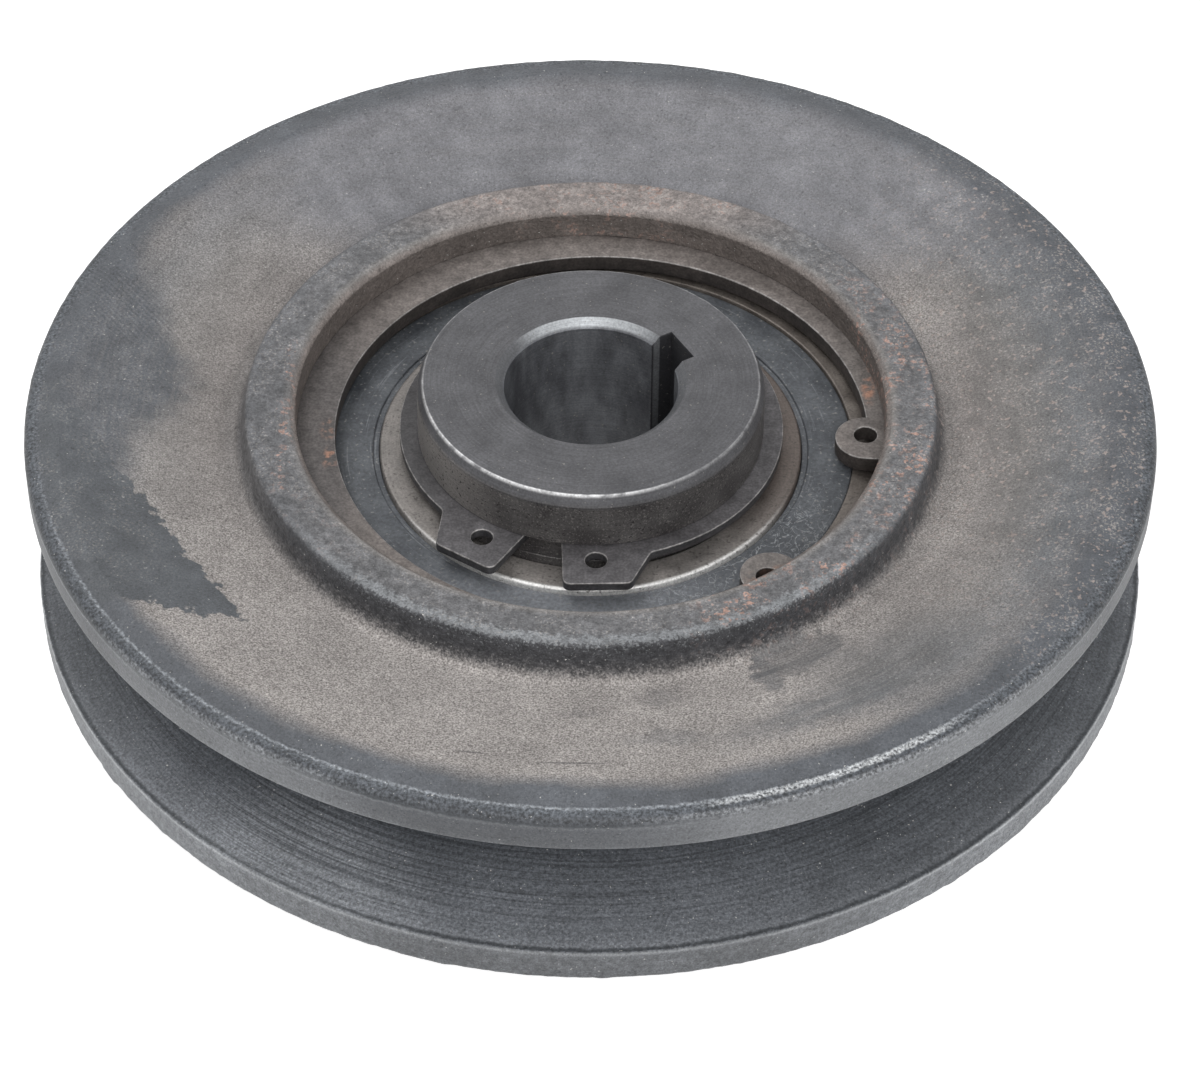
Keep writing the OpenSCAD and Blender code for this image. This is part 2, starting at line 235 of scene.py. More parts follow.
# Place on the piece in mm, distance from the axis and height
def positionIn(tree):
    coords = addNode(tree, "ShaderNodeTexCoord", out="Object")
    place = addNode(tree, "ShaderNodeVectorMath", {0: coords, "Scale": 1 / mm}, operation="SCALE")
    flat = addNode(tree, "ShaderNodeVectorMath", {0: place, 1: (1, 1, 0)}, operation="MULTIPLY")
    radius = addNode(tree, "ShaderNodeVectorMath", {0: flat}, out="Value", operation="LENGTH")
    height = addNode(tree, "ShaderNodeSeparateXYZ", {0: place}, out="Z")
    return place, radius, height


# Fine rings left by the lathe: noise that is short across the cut and long round the axis
def latheLines(tree, place, radius, height, size, length):
    across = addNode(tree, "ShaderNodeMath", {0: height, 1: 1.3, 2: radius}, operation="MULTIPLY_ADD")
    across = addNode(tree, "ShaderNodeMath", {0: across, 1: 1 / size}, operation="MULTIPLY")
    along = addNode(tree, "ShaderNodeVectorMath", {0: place, 1: (1 / length, 1 / length, 0)}, operation="MULTIPLY")
    upright = addNode(tree, "ShaderNodeCombineXYZ", {"Z": across})
    spot = addNode(tree, "ShaderNodeVectorMath", {0: along, 1: upright}, operation="ADD")
    return addNode(tree, "ShaderNodeTexNoise", {"Vector": spot, "Scale": 1.0, "Detail": 2.0, "Roughness": 0.7})


# Small uneven spots: the peaks of a fine noise; share is how much of the surface they take, up to about a third
def speckMask(tree, place, size, share):
    peaks = addNode(tree, "ShaderNodeTexNoise", {"Vector": place, "Scale": 1 / size, "Detail": 1.0})
    edge = 0.75 - 0.6 * share
    return addNode(tree, "ShaderNodeMapRange", {"Value": peaks, 1: edge, 2: edge + 0.07})


# A soft or ragged oval patch, seen from above
def stainTree():
    tree = bpy.data.node_groups.new("stain", "ShaderNodeTree")
    for name, kind in (("Place", "NodeSocketVector"), ("Centre", "NodeSocketVector"), ("Reach", "NodeSocketVector"),
                       ("Turn", "NodeSocketFloat"), ("Softness", "NodeSocketFloat"), ("Strength", "NodeSocketFloat")):
        socket = tree.interface.new_socket(name, in_out="INPUT", socket_type=kind)
        if name == "Strength":
            socket.default_value = 1.0
    tree.interface.new_socket("Mask", in_out="OUTPUT", socket_type="NodeSocketFloat")
    given = addNode(tree, "NodeGroupInput", out=None).outputs
    moved = addNode(tree, "ShaderNodeVectorMath", {0: given["Place"], 1: given["Centre"]}, operation="SUBTRACT")
    cosine = addNode(tree, "ShaderNodeMath", {0: given["Turn"]}, operation="COSINE")
    sine = addNode(tree, "ShaderNodeMath", {0: given["Turn"]}, operation="SINE")
    minus = addNode(tree, "ShaderNodeMath", {0: sine, 1: -1.0}, operation="MULTIPLY")
    reach = addNode(tree, "ShaderNodeSeparateXYZ", {0: given["Reach"]}, out=None).outputs
    parts = []
    for x, y, size in ((cosine, sine, reach["X"]), (minus, cosine, reach["Y"])):
        x = addNode(tree, "ShaderNodeMath", {0: x, 1: size}, operation="DIVIDE")
        y = addNode(tree, "ShaderNodeMath", {0: y, 1: size}, operation="DIVIDE")
        axis = addNode(tree, "ShaderNodeCombineXYZ", {"X": x, "Y": y})
        parts.append(addNode(tree, "ShaderNodeVectorMath", {0: moved, 1: axis}, out="Value", operation="DOT_PRODUCT"))
    scaled = addNode(tree, "ShaderNodeCombineXYZ", {"X": parts[0], "Y": parts[1]})
    distance = addNode(tree, "ShaderNodeVectorMath", {0: scaled}, out="Value", operation="LENGTH")
    outside = addNode(tree, "ShaderNodeMath", {0: given["Softness"], 1: 1.0}, operation="ADD")
    inside = addNode(tree, "ShaderNodeMath", {0: 1.0, 1: given["Softness"]}, operation="SUBTRACT")
    mask = addNode(tree, "ShaderNodeMapRange", {"Value": distance, 1: outside, 2: inside, 4: given["Strength"]},
                   interpolation_type="SMOOTHSTEP")
    addNode(tree, "NodeGroupOutput", {"Mask": mask}, out=None)
    return tree


stainShape = stainTree()


# Cast iron of the sheave. Stains are (x, y, half length, half width in mm, turn in degrees, softness, strength)
ironLook = {
    "sand": 0.2, "grit": 0.34, "cast": 0.8, "mottle": 7.0, "cloud": 14.0, "cloudReach": 8.0, "ragged": 2.6,
    "raggedReach": 4.6, "turning": 0.32, "turningLength": 45.0, "sweep": 0.6, "sweepLength": 11.0, "speck": 0.3,
    "cluster": 3.2, "rustGrain": 0.55, "pit": 0.42, "dot": 0.3, "fleck": 0.62, "ripple": 0.6, "fray": 0.7, "frayReach": 1.5,
    "dustFrom": 0.65, "dustTo": 5.0,
    "thinned": {
        "backFilm": (6, 54, 68, 29, 0, 0.3, 1.0), "leftWiped": (-66, 9, 16, 31, 5, 0.16, 0.92),
        "rightWorn": (62.5, 6, 22, 50, 4, 0.3, 0.9),
        "frontThin": (43, -31, 17, 11, 50, 0.5, 0.5), "backRight": (42, 38, 20, 16, 45, 0.5, 0.5), "leftThin": (-46, 10, 12, 26, 0, 0.5, 0.6),
    },
    "scuffed": {
        "square": (22.5, -37.0, 5.6, 3.0, 28, 0.08, 0.7), "squareLeft": (19.4, -40.6, 1.5, 3.6, 22, 0.25, 0.8),
        "squareRight": (27.0, -39.0, 4.5, 4.0, 40, 0.6, 0.5), "tail": (26, -46.4, 11, 2.8, 28, 0.6, 0.75),
        "tailRight": (35, -40, 9, 6, 42, 0.6, 0.7), "smudgeBack": (7.7, -43.7, 3.2, 1.8, 10, 0.5, 0.5),
        "smudgeFront": (8.3, -51.6, 4.2, 1.5, 4, 0.5, 0.5), "smudgeLeft": (-0.6, -46.9, 2.0, 0.8, 0, 0.5, 0.4),
    },
    "wipeTip": (-37.4, -34.2), "wipeInner": (-0.826, -0.563), "wipeOuter": (0.06, 0.998),
    "rust": {"bossRight": (36, -6, 7, 26, 10, 0.35, 0.9), "bossFront": (22, -31, 12, 4.5, 35, 0.4, 1.0),
             "bossLeft": (-33, -22, 4, 8, 40, 0.5, 0.2), "bossBack": (4, 37, 20, 4, 0, 0.5, 0.6),
             "webRight": (46, -4, 6, 22, 0, 0.5, 0.4), "mouthLeft": (-34.9, -4, 0.6, 13, 0, 0.4, 0.9)},
    "pale": {"right": (55, 4, 22, 48, 0, 0.3, 0.7), "boss": (0, 0, 39.8, 39.8, 0, 0.02, 0.5),
             "left": (-56, -8, 12, 26, 0, 0.4, 0.3)},
    "dark": {"front": (3, -42, 44, 22, 0, 0.35, 1.0), "flangeFront": (8, -66, 30, 20, 0, 0.5, 0.5),
             "flangeLeft": (-41, -50, 16, 8, -40, 0.5, 0.6), "grooveLeft": (-64, -6, 16, 34, 0, 0.4, 0.6),
             "grooveRight": (48, -34, 16, 34, -38, 0.5, 0.55), "lowFront": (0, -64, 34, 24, 0, 0.6, 1.0),
             "grooveWorn": (-31, -54, 13, 6, -32, 0.6, 0.4),
             "lineFront": (-14, -52, 58, 42, -8, 0.3, 1.0), "flecked": (59, 4, 22, 54, 4, 0.4, 0.7), "filmBack": (2, 38, 26, 9, 0, 0.5, 0.8),
             "sideLeft": (-38, -3, 8, 20, 0, 0.5, 0.5), "wallLeft": (-41, -5, 6, 24, 0, 0.5, 0.7),
             "rimStreak": (25.9, -58.4, 15, 3.4, 26, 0.35, 1.0), "flangeRight": (34, -56, 26, 12, 31, 0.5, 0.8),
             "scratchFront": (-1.8, -56.3, 3.4, 0.16, 0, 0.5, 0.6),
             "scratchLeft": (-12.4, -54.8, 1.5, 0.15, -6, 0.5, 0.6)},
    "rippled": (-55, 16.3, 7.0, 4.0, -45, 0.4, 1.0),
}


# Grey iron, sand cast and blackened, gone dusty in store: blue-grey where a cloth wiped it, sandy beige where
# dust lies, rough on the boss and the rim's corner, ringed where it was turned, and a little rust
def makeCastIron():
    look, s = ironLook, sheaveSize
    middle, boss, rim, bore = s["width"] / 2, s["bossRadius"], s["rimRadius"], s["bearingRadius"]
    material, tree, shader = newMaterial("castIronSandCastBlackened", 0.6, specular=0.35)
    place, radius, height = positionIn(tree)
    sand = addNode(tree, "ShaderNodeTexNoise", {"Vector": place, "Scale": 1 / look["sand"], "Detail": 1.0})
    grit = addNode(tree, "ShaderNodeTexNoise",
                   {"Vector": place, "Scale": 1 / look["grit"], "Detail": 2.0, "Roughness": 0.6})
    cast = addNode(tree, "ShaderNodeTexNoise",
                   {"Vector": place, "Scale": 1 / look["cast"], "Detail": 2.0, "Roughness": 0.65})
    mottle = addNode(tree, "ShaderNodeTexNoise",
                     {"Vector": place, "Scale": 1 / look["mottle"], "Detail": 3.0, "Roughness": 0.6})
    cluster = addNode(tree, "ShaderNodeTexNoise", {"Vector": place, "Scale": 1 / look["cluster"], "Detail": 2.0})
    fromMiddle = addNode(tree, "ShaderNodeMath", {0: height, 1: middle}, operation="SUBTRACT")
    fromMiddle = addNode(tree, "ShaderNodeMath", {0: fromMiddle}, operation="ABSOLUTE")
    rings = latheLines(tree, place, radius, fromMiddle, look["turning"], look["turningLength"])
    sweep = latheLines(tree, place, radius, height, look["sweep"], look["sweepLength"])
    crowded = addNode(tree, "ShaderNodeMapRange", {"Value": cluster, 1: 0.44, 2: 0.58})
    speck = speckMask(tree, place, look["speck"], 0.32)
    speck = addNode(tree, "ShaderNodeMath", {0: speck, 1: crowded}, operation="MULTIPLY")
    pits = speckMask(tree, place, look["pit"], 0.16)
    dots = speckMask(tree, place, look["dot"], 0.03)
    rustGrain = speckMask(tree, place, look["rustGrain"], 0.33)

    # Places shifted a little, so that no stain has a clean outline
    jag = addNode(tree, "ShaderNodeTexNoise", {"Vector": place, "Scale": 1 / look["ragged"], "Detail": 3.0,
                                               "Roughness": 0.7}, out="Color")
    jag = addNode(tree, "ShaderNodeVectorMath", {0: jag, 1: (0.5, 0.5, 0.5)}, operation="SUBTRACT")
    jag = addNode(tree, "ShaderNodeVectorMath", {0: jag, "Scale": look["raggedReach"]}, operation="SCALE")
    ragged = addNode(tree, "ShaderNodeVectorMath", {0: place, 1: jag}, operation="ADD")
    fray = addNode(tree, "ShaderNodeTexNoise", {"Vector": place, "Scale": 1 / look["fray"], "Detail": 1.0}, out="Color")
    fray = addNode(tree, "ShaderNodeVectorMath", {0: fray, 1: (0.5, 0.5, 0.5)}, operation="SUBTRACT")
    fray = addNode(tree, "ShaderNodeVectorMath", {0: fray, "Scale": look["frayReach"]}, operation="SCALE")
    ragged = addNode(tree, "ShaderNodeVectorMath", {0: ragged, 1: fray}, operation="ADD")
    drift = addNode(tree, "ShaderNodeTexNoise", {"Vector": place, "Scale": 1 / look["cloud"], "Detail": 1.0},
                    out="Color")
    drift = addNode(tree, "ShaderNodeVectorMath", {0: drift, 1: (0.5, 0.5, 0.5)}, operation="SUBTRACT")
    drift = addNode(tree, "ShaderNodeVectorMath", {0: drift, "Scale": look["cloudReach"] * 2}, operation="SCALE")
    cloudy = addNode(tree, "ShaderNodeVectorMath", {0: ragged, 1: drift}, operation="ADD")

    stains = {}
    for group, spot in (("thinned", cloudy), ("scuffed", ragged), ("rust", ragged), ("pale", ragged),
                        ("dark", place)):
        for name, (x, y, long, wide, turn, soft, strength) in look[group].items():
            stains[name] = addNode(tree, "ShaderNodeGroup",
                                   {"Place": spot, "Centre": (x, y, 0), "Reach": (long, wide, 1),
                                    "Turn": math.radians(turn), "Softness": soft, "Strength": strength},
                                   node_tree=stainShape)

    # The wiped patch at the left lies between two strokes of the cloth that meet in its tip
    tip = addNode(tree, "ShaderNodeVectorMath", {0: ragged, 1: (*look["wipeTip"], 0)}, operation="SUBTRACT")
    strokes = [addNode(tree, "ShaderNodeVectorMath", {0: tip, 1: (*look[edge], 0)}, out="Value",
                       operation="DOT_PRODUCT") for edge in ("wipeInner", "wipeOuter")]
    wiped = addNode(tree, "ShaderNodeMath", {0: strokes[0], 1: strokes[1], 2: 2.0}, operation="SMOOTH_MIN")
    wiped = addNode(tree, "ShaderNodeMapRange", {"Value": wiped, 1: -0.12, 2: 0.2})
    unwiped = addNode(tree, "ShaderNodeMath", {0: 1.0, 1: wiped}, operation="SUBTRACT")

    wavy = addNode(tree, "ShaderNodeMath", {0: cast, 1: 0.5, 2: radius}, operation="MULTIPLY_ADD")

    crumbs = addNode(tree, "ShaderNodeMapRange", {"Value": grit, 1: 0.3, 2: 0.7, 3: -0.45, 4: 0.45})
    crumbly = addNode(tree, "ShaderNodeMath", {0: wavy, 1: crumbs}, operation="ADD")

    # A ring round the axis that fades at both its edges
    def ring(start, full, fading, end, distance=wavy):
        rise = addNode(tree, "ShaderNodeMapRange", {"Value": distance, 1: start, 2: full})
        fall = addNode(tree, "ShaderNodeMapRange", {"Value": distance, 1: end, 2: fading})
        return addNode(tree, "ShaderNodeMath", {0: rise, 1: fall}, operation="MULTIPLY")

    # Dust lies in the dish of the upper side and is thinner where something rubbed it; at the sides of the boss it
    # thins towards the foot as painted shade
    uneven = addNode(tree, "ShaderNodeMath", {0: mottle, 1: 3.0, 2: radius}, operation="MULTIPLY_ADD")
    dustIn = addNode(tree, "ShaderNodeMapRange",
                     {"Value": wavy, 1: boss + look["dustFrom"], 2: boss + look["dustFrom"] + 1.1})
    dustEnd = rim - look["dustTo"] + 1.5
    dustOut = addNode(tree, "ShaderNodeMapRange", {"Value": uneven, 1: dustEnd + 1.4, 2: dustEnd - 1.2})
    # Painted shade: the dust thins to half next to the boss's foot, except at the front
    foot = addNode(tree, "ShaderNodeMapRange", {"Value": wavy, 1: boss + 0.8, 2: boss + 4.5, 3: 0.5, 4: 1.0})
    foot = addNode(tree, "ShaderNodeMath", {0: foot, 1: stains["front"]}, operation="MAXIMUM")
    upper = addNode(tree, "ShaderNodeMapRange", {"Value": height, 1: middle - 1, 2: middle + 1, 3: 0.2})
    streaky = addNode(tree, "ShaderNodeMapRange", {"Value": sweep, 1: 0.36, 2: 0.64, 3: 0.72, 4: 1.15})
    faint = addNode(tree, "ShaderNodeMapRange", {"Value": streaky, 1: 0.72, 2: 1.15, 3: 0.92, 4: 1.06})
    web = addNode(tree, "ShaderNodeMath", {0: dustIn, 1: dustOut}, operation="MULTIPLY")
    dust = web
    for part in (upper, unwiped, foot):
        dust = addNode(tree, "ShaderNodeMath", {0: dust, 1: part}, operation="MULTIPLY")
    scuffs = 0.0
    for name in look["scuffed"]:
        scuffs = addNode(tree, "ShaderNodeMath", {0: scuffs, 1: stains[name]}, operation="MAXIMUM")
    for group, lines in (("thinned", faint), ("scuffed", streaky)):
        left = 1.0
        for name in look[group]:
            kept = addNode(tree, "ShaderNodeMath", {0: 1.0, 1: stains[name]}, operation="SUBTRACT")
            left = addNode(tree, "ShaderNodeMath", {0: left, 1: kept}, operation="MULTIPLY")
        rubbed = addNode(tree, "ShaderNodeMath", {0: 1.0, 1: left}, operation="SUBTRACT")
        rubbed = addNode(tree, "ShaderNodeMath", {0: rubbed, 1: lines}, operation="MULTIPLY", use_clamp=True)
        left = addNode(tree, "ShaderNodeMath", {0: 1.0, 1: rubbed}, operation="SUBTRACT")
        dust = addNode(tree, "ShaderNodeMath", {0: dust, 1: left}, operation="MULTIPLY")

    # Bare iron by its distance from the axis: bore wall, mouth, boss and its dark wall, dish, rim band and corner. The
    # mouth's pale band is a painted highlight, and the dark wall is bare iron darkened further by painted shade in the
    # fillet
    inmost = bore - 3
    outward = addNode(tree, "ShaderNodeMapRange", {"Value": wavy, 1: inmost + 0.25, 2: rim + 0.25})
    zones = [(bore, "#67605c"), (rim, "#4d5054"), (bore + 0.3, "#857d79"), (bore + 0.8, "#84817f"),
             (bore + 1.6, "#6f6f71"), (boss - 1.8, "#6d6d6f"), (boss - 0.5, "#707174"), (boss + 0.1, "#505154"),
             (boss + 0.7, "#4a4a4c"), (boss + 1.4, "#6b6867"), (boss + 4.0, "#76716f"), (rim - 15.0, "#72706f"),
             (rim - 9.0, "#696c70"), (rim - 5.5, "#5d6065"), (rim - 1.6, "#5b5e63"), (rim - 0.95, "#565a5f"),
             (rim - 0.45, "#4a4d52")]
    iron = addNode(tree, "ShaderNodeValToRGB", {0: outward},
                   stops=[((r - inmost) / (rim - inmost), colour) for r, colour in zones])
    band = addNode(tree, "ShaderNodeMapRange", {"Value": wavy, 1: rim - 1.2, 2: rim - 1.8})
    bossTop = ring(bore + 0.5, bore + 1.0, boss - 0.2, boss + 0.2)
    # wallLeft makes the boss wall lighter at the left, where its painted shade is weaker
    for mask, where, tone in ((stains["backFilm"], web, "#7e7e82"), (stains["leftWiped"], band, "#5d6065"),
                              (scuffs, web, "#6a6b6d"),
                              (wiped, band, "#5a5d61"), (stains["filmBack"], bossTop, "#9a918d"),
                              (stains["sideLeft"], bossTop, "#5d5e61"),
                              (stains["wallLeft"], ring(boss, boss + 0.2, boss + 1.0, boss + 1.6), "#6f6e6f")):
        part = addNode(tree, "ShaderNodeMath", {0: where, 1: mask}, operation="MULTIPLY")
        iron = addNode(tree, "ShaderNodeMix", {0: part, 6: iron, 7: srgb(tone)}, out=2, data_type="RGBA")
    shade = addNode(tree, "ShaderNodeMapRange", {"Value": cluster, 1: 0.3, 2: 0.7, 3: 0.86, 4: 1.14})
    iron = addNode(tree, "ShaderNodeVectorMath", {0: iron, "Scale": shade}, operation="SCALE")
    sandColour = addNode(tree, "ShaderNodeValToRGB", {0: sand},
                         stops=[(0.3, "#847f7c"), (0.72, "#b8b3b0"), (0.5, "#a19c99")])
    colour = addNode(tree, "ShaderNodeMix", {0: dust, 6: iron, 7: sandColour}, out=2, data_type="RGBA")

    # At the front the boss's bead has a painted highlight and its wall painted shade, the rim band a thin painted
    # highlight line, and the rim a streak that is worn bright; two dark scratches lie at the front
    gritty = addNode(tree, "ShaderNodeMapRange", {"Value": grit, 1: 0.34, 2: 0.5, 3: 0.25})
    onBead = ring(boss - 1.3, boss - 0.8, boss + 0.05, boss + 0.3, crumbly)
    onWall = ring(boss, boss + 0.3, boss + 0.75, boss + 1.2, crumbly)
    streak = ring(rim - 1.5, rim - 1.2, rim - 0.75, rim - 0.5)
    # The bead's pale tone, the wall's dark tone and the rim band's light line are painted light and shade, limited to
    # the front
    for share, parts, tone in ((0.65, (onBead, stains["front"]), "#929598"), (0.65, (onWall, stains["front"]), "#3c3c3f"),
                               (0.9, (ring(rim - 1.5, rim - 1.3, rim - 1.2, rim - 1.0), stains["lineFront"]), "#878b90"),
                               (0.9, (streak, stains["rimStreak"], gritty), "#b2b4b6"),
                               (1.0, (stains["scratchFront"],), "#3f3f42"), (1.0, (stains["scratchLeft"],), "#3f3f42")):
        mask = upper
        for part in (*parts, share):
            mask = addNode(tree, "ShaderNodeMath", {0: mask, 1: part}, operation="MULTIPLY")
        colour = addNode(tree, "ShaderNodeMix", {0: mask, 6: colour, 7: srgb(tone)}, out=2, data_type="RGBA")

    # Faint parallel marks of the cloth at the left
    x, y, long, wide, turn, soft, strength = look["rippled"]
    rippled = addNode(tree, "ShaderNodeGroup",
                      {"Place": place, "Centre": (x, y, 0), "Reach": (long, wide, 1), "Turn": math.radians(turn),
                       "Softness": soft}, node_tree=stainShape)
    sideways = (-math.sin(math.radians(turn)), math.cos(math.radians(turn)), 0)
    marks = addNode(tree, "ShaderNodeVectorMath", {0: place, 1: sideways}, out="Value", operation="DOT_PRODUCT")
    marks = addNode(tree, "ShaderNodeMath", {0: marks, 1: 2 * math.pi / look["ripple"]}, operation="MULTIPLY")
    marks = addNode(tree, "ShaderNodeMath", {0: marks}, operation="SINE")
    marks = addNode(tree, "ShaderNodeMath", {0: marks, 1: rippled}, operation="MULTIPLY")
    shade = addNode(tree, "ShaderNodeMath", {0: marks, 1: 0.12, 2: 1.0}, operation="MULTIPLY_ADD")
    topColour = addNode(tree, "ShaderNodeVectorMath", {0: colour, "Scale": shade}, operation="SCALE")

    # The groove's flanks are turned and dark, darker towards the floor and at the left and right, with a thin line of
    # painted shade just inside the lip and a painted highlight on the worn edge at the lip
    lip = s["grooveWidth"] / 2
    inGroove = addNode(tree, "ShaderNodeMapRange", {"Value": fromMiddle, 1: lip + 0.15, 2: lip - 0.05})
    farOut = addNode(tree, "ShaderNodeMapRange", {"Value": radius, 1: rim - 20, 2: rim - 19})
    inGroove = addNode(tree, "ShaderNodeMath", {0: inGroove, 1: farOut}, operation="MULTIPLY")
    depth = addNode(tree, "ShaderNodeMapRange", {"Value": wavy, 1: rim - 14.75, 2: rim + 0.25})
    # Painted shade: the dark stops 0.3 to 0.5 mm in from the lip; painted highlight: the pale stop at the lip itself
    grooveZones = [(15.0, "#4f5257"), (0.0, "#7d8084"), (7.0, "#5e6166"), (1.7, "#6c6f74"), (0.75, "#787b80"),
                   (0.5, "#44474b"), (0.3, "#3c3f43"), (0.15, "#6a6d72")]
    grooveColour = addNode(tree, "ShaderNodeValToRGB", {0: depth},
                           stops=[(1 - inward / 15, colour) for inward, colour in grooveZones])
    lined = addNode(tree, "ShaderNodeMapRange", {"Value": rings, 1: 0.44, 2: 0.6, 3: 0.3})
    for name, lines, tone in (("grooveLeft", streaky, "#3f4246"), ("grooveRight", streaky, "#3b3e42"),
                              ("grooveWorn", lined, "#a6a9ad")):
        part = addNode(tree, "ShaderNodeMath", {0: stains[name], 1: lines}, operation="MULTIPLY")
        grooveColour = addNode(tree, "ShaderNodeMix", {0: part, 6: grooveColour, 7: srgb(tone)}, out=2,
                               data_type="RGBA")
    colour = addNode(tree, "ShaderNodeMix", {0: inGroove, 6: topColour, 7: grooveColour}, out=2, data_type="RGBA")

    # The flanges' outer faces, from the groove's lip to the rough corner, with a painted highlight along the lip; on
    # the upper one painted shade darkens the front and painted light brightens the left and right, and painted light
    # makes the lower one paler, least at the front
    onFace = addNode(tree, "ShaderNodeMapRange", {"Value": radius, 1: rim - 0.5, 2: rim - 0.2})
    ungrooved = addNode(tree, "ShaderNodeMath", {0: 1.0, 1: inGroove}, operation="SUBTRACT")
    onFace = addNode(tree, "ShaderNodeMath", {0: onFace, 1: ungrooved}, operation="MULTIPLY")
    worn = addNode(tree, "ShaderNodeMath", {0: cast, 1: 0.7, 2: fromMiddle}, operation="MULTIPLY_ADD")
    across = addNode(tree, "ShaderNodeMapRange", {"Value": worn, 1: lip + 0.35, 2: middle + 0.35})
    # The pale stops at the lip, here and on the lower face, are a painted highlight
    faceZones = [(lip, "#94979a"), (middle, "#4d5054"), (lip + 0.3, "#77797c"), (lip + 0.7, "#6a6c6f"),
                 (lip + 2.9, "#66686c"), (lip + 3.2, "#85888b"), (lip + 3.5, "#484b4f")]
    faceColour = addNode(tree, "ShaderNodeValToRGB", {0: across},
                         stops=[((h - lip) / (middle - lip), colour) for h, colour in faceZones])
    # Painted shade at the front (flangeFront) and painted light at the left and right (flangeLeft, flangeRight)
    for name, tone in (("flangeFront", "#4d4f53"), ("flangeLeft", "#8d8f92"), ("flangeRight", "#8e9093")):
        part = addNode(tree, "ShaderNodeMath", {0: upper, 1: stains[name]}, operation="MULTIPLY")
        faceColour = addNode(tree, "ShaderNodeMix", {0: part, 6: faceColour, 7: srgb(tone)}, out=2, data_type="RGBA")
    lowerFace = addNode(tree, "ShaderNodeMapRange", {"Value": height, 1: middle - lip + 0.2, 2: middle - lip - 0.2})
    lowZones = [(lip, "#a2a4a6"), (middle, "#646669"), (lip + 0.25, "#85878a"), (lip + 0.55, "#6a6c6f")]
    lowColour = addNode(tree, "ShaderNodeValToRGB", {0: across},
                        stops=[((h - lip) / (middle - lip), colour) for h, colour in lowZones])
    # Painted light: the lower face's colour is scaled up by 1.12 at the front and up to 1.9 elsewhere
    shade = addNode(tree, "ShaderNodeMapRange", {"Value": stains["lowFront"], 3: 1.9, 4: 1.12})
    paler = addNode(tree, "ShaderNodeVectorMath", {0: lowColour, "Scale": shade}, operation="SCALE")
    faceColour = addNode(tree, "ShaderNodeMix", {0: lowerFace, 6: faceColour, 7: paler}, out=2, data_type="RGBA")
    colour = addNode(tree, "ShaderNodeMix", {0: onFace, 6: colour, 7: faceColour}, out=2, data_type="RGBA")

    # Rust and pale specks in clusters, pits and bright dots, then lighter and darker clouds and grain over all
    rough = addNode(tree, "ShaderNodeMath", {0: rustGrain, 1: crowded}, operation="MULTIPLY")
    offWall = addNode(tree, "ShaderNodeMath", {0: 1.0, 1: onWall}, operation="SUBTRACT")
    offBore = addNode(tree, "ShaderNodeMapRange", {"Value": radius, 1: bore + 0.7, 2: bore + 0.9})
    rustyPart = addNode(tree, "ShaderNodeMapRange", {"Value": wavy, 1: boss + 0.2, 2: boss - 0.2, 3: 0.12})
    onTopSide = addNode(tree, "ShaderNodeMapRange", {"Value": radius, 1: rim - 1.2, 2: rim - 1.6, 3: 0.15})
    spread = 0.0
    for name in look["rust"]:
        spread = addNode(tree, "ShaderNodeMath", {0: spread, 1: stains[name]}, operation="MAXIMUM")
    for part in (rough, upper, rustyPart):
        spread = addNode(tree, "ShaderNodeMath", {0: spread, 1: part}, operation="MULTIPLY")
    colour = addNode(tree, "ShaderNodeMix", {0: spread, 6: colour, 7: srgb("#ae8e82")}, out=2, data_type="RGBA")
    flecks = speckMask(tree, place, look["fleck"], 0.2)
    for part in (stains["flecked"], ungrooved, onTopSide, upper):
        flecks = addNode(tree, "ShaderNodeMath", {0: flecks, 1: part}, operation="MULTIPLY")
    colour = addNode(tree, "ShaderNodeMix", {0: flecks, 6: colour, 7: srgb("#b0a19a")}, out=2, data_type="RGBA")
    spread = 0.0
    for name in look["pale"]:
        spread = addNode(tree, "ShaderNodeMath", {0: spread, 1: stains[name]}, operation="MAXIMUM")
    for part in (speck, ungrooved, offWall, offBore, onTopSide):
        spread = addNode(tree, "ShaderNodeMath", {0: spread, 1: part}, operation="MULTIPLY")
    colour = addNode(tree, "ShaderNodeMix", {0: spread, 6: colour, 7: srgb("#a09b97")}, out=2, data_type="RGBA")
    colour = addNode(tree, "ShaderNodeMix", {0: dots, 6: colour, 7: srgb("#c4c2bf")}, out=2, data_type="RGBA")
    for pattern, ends in ((mottle, (0.3, 0.7, 0.86, 1.12)), (sand, (0.3, 0.7, 0.82, 1.18)),
                          (grit, (0.3, 0.7, 0.82, 1.18)), (pits, (0.0, 1.0, 1.0, 0.66))):
        shade = addNode(tree, "ShaderNodeMapRange", {"Value": pattern, **dict(zip((1, 2, 3, 4), ends))})
        colour = addNode(tree, "ShaderNodeVectorMath", {0: colour, "Scale": shade}, operation="SCALE")
    onBoss = ring(bore + 0.9, bore + 1.4, boss + 0.8, boss + 1.4)
    outerSide = addNode(tree, "ShaderNodeMapRange", {"Value": fromMiddle, 1: middle - 1.5, 2: middle - 1.1})
    onCorner = addNode(tree, "ShaderNodeMapRange", {"Value": radius, 1: rim - 1.9, 2: rim - 1.4})
    onCorner = addNode(tree, "ShaderNodeMath", {0: onCorner, 1: outerSide}, operation="MULTIPLY")
    asCast = addNode(tree, "ShaderNodeMath", {0: onBoss, 1: onCorner}, operation="MAXIMUM")
    lowerFace = addNode(tree, "ShaderNodeMath", {0: lowerFace, 1: onFace}, operation="MULTIPLY")
    for mask, pattern, low, high in ((onBoss, cast, 0.72, 1.28), (onCorner, grit, 0.45, 1.65),
                                     (lowerFace, cast, 0.76, 1.24), (inGroove, grit, 0.8, 1.22)):
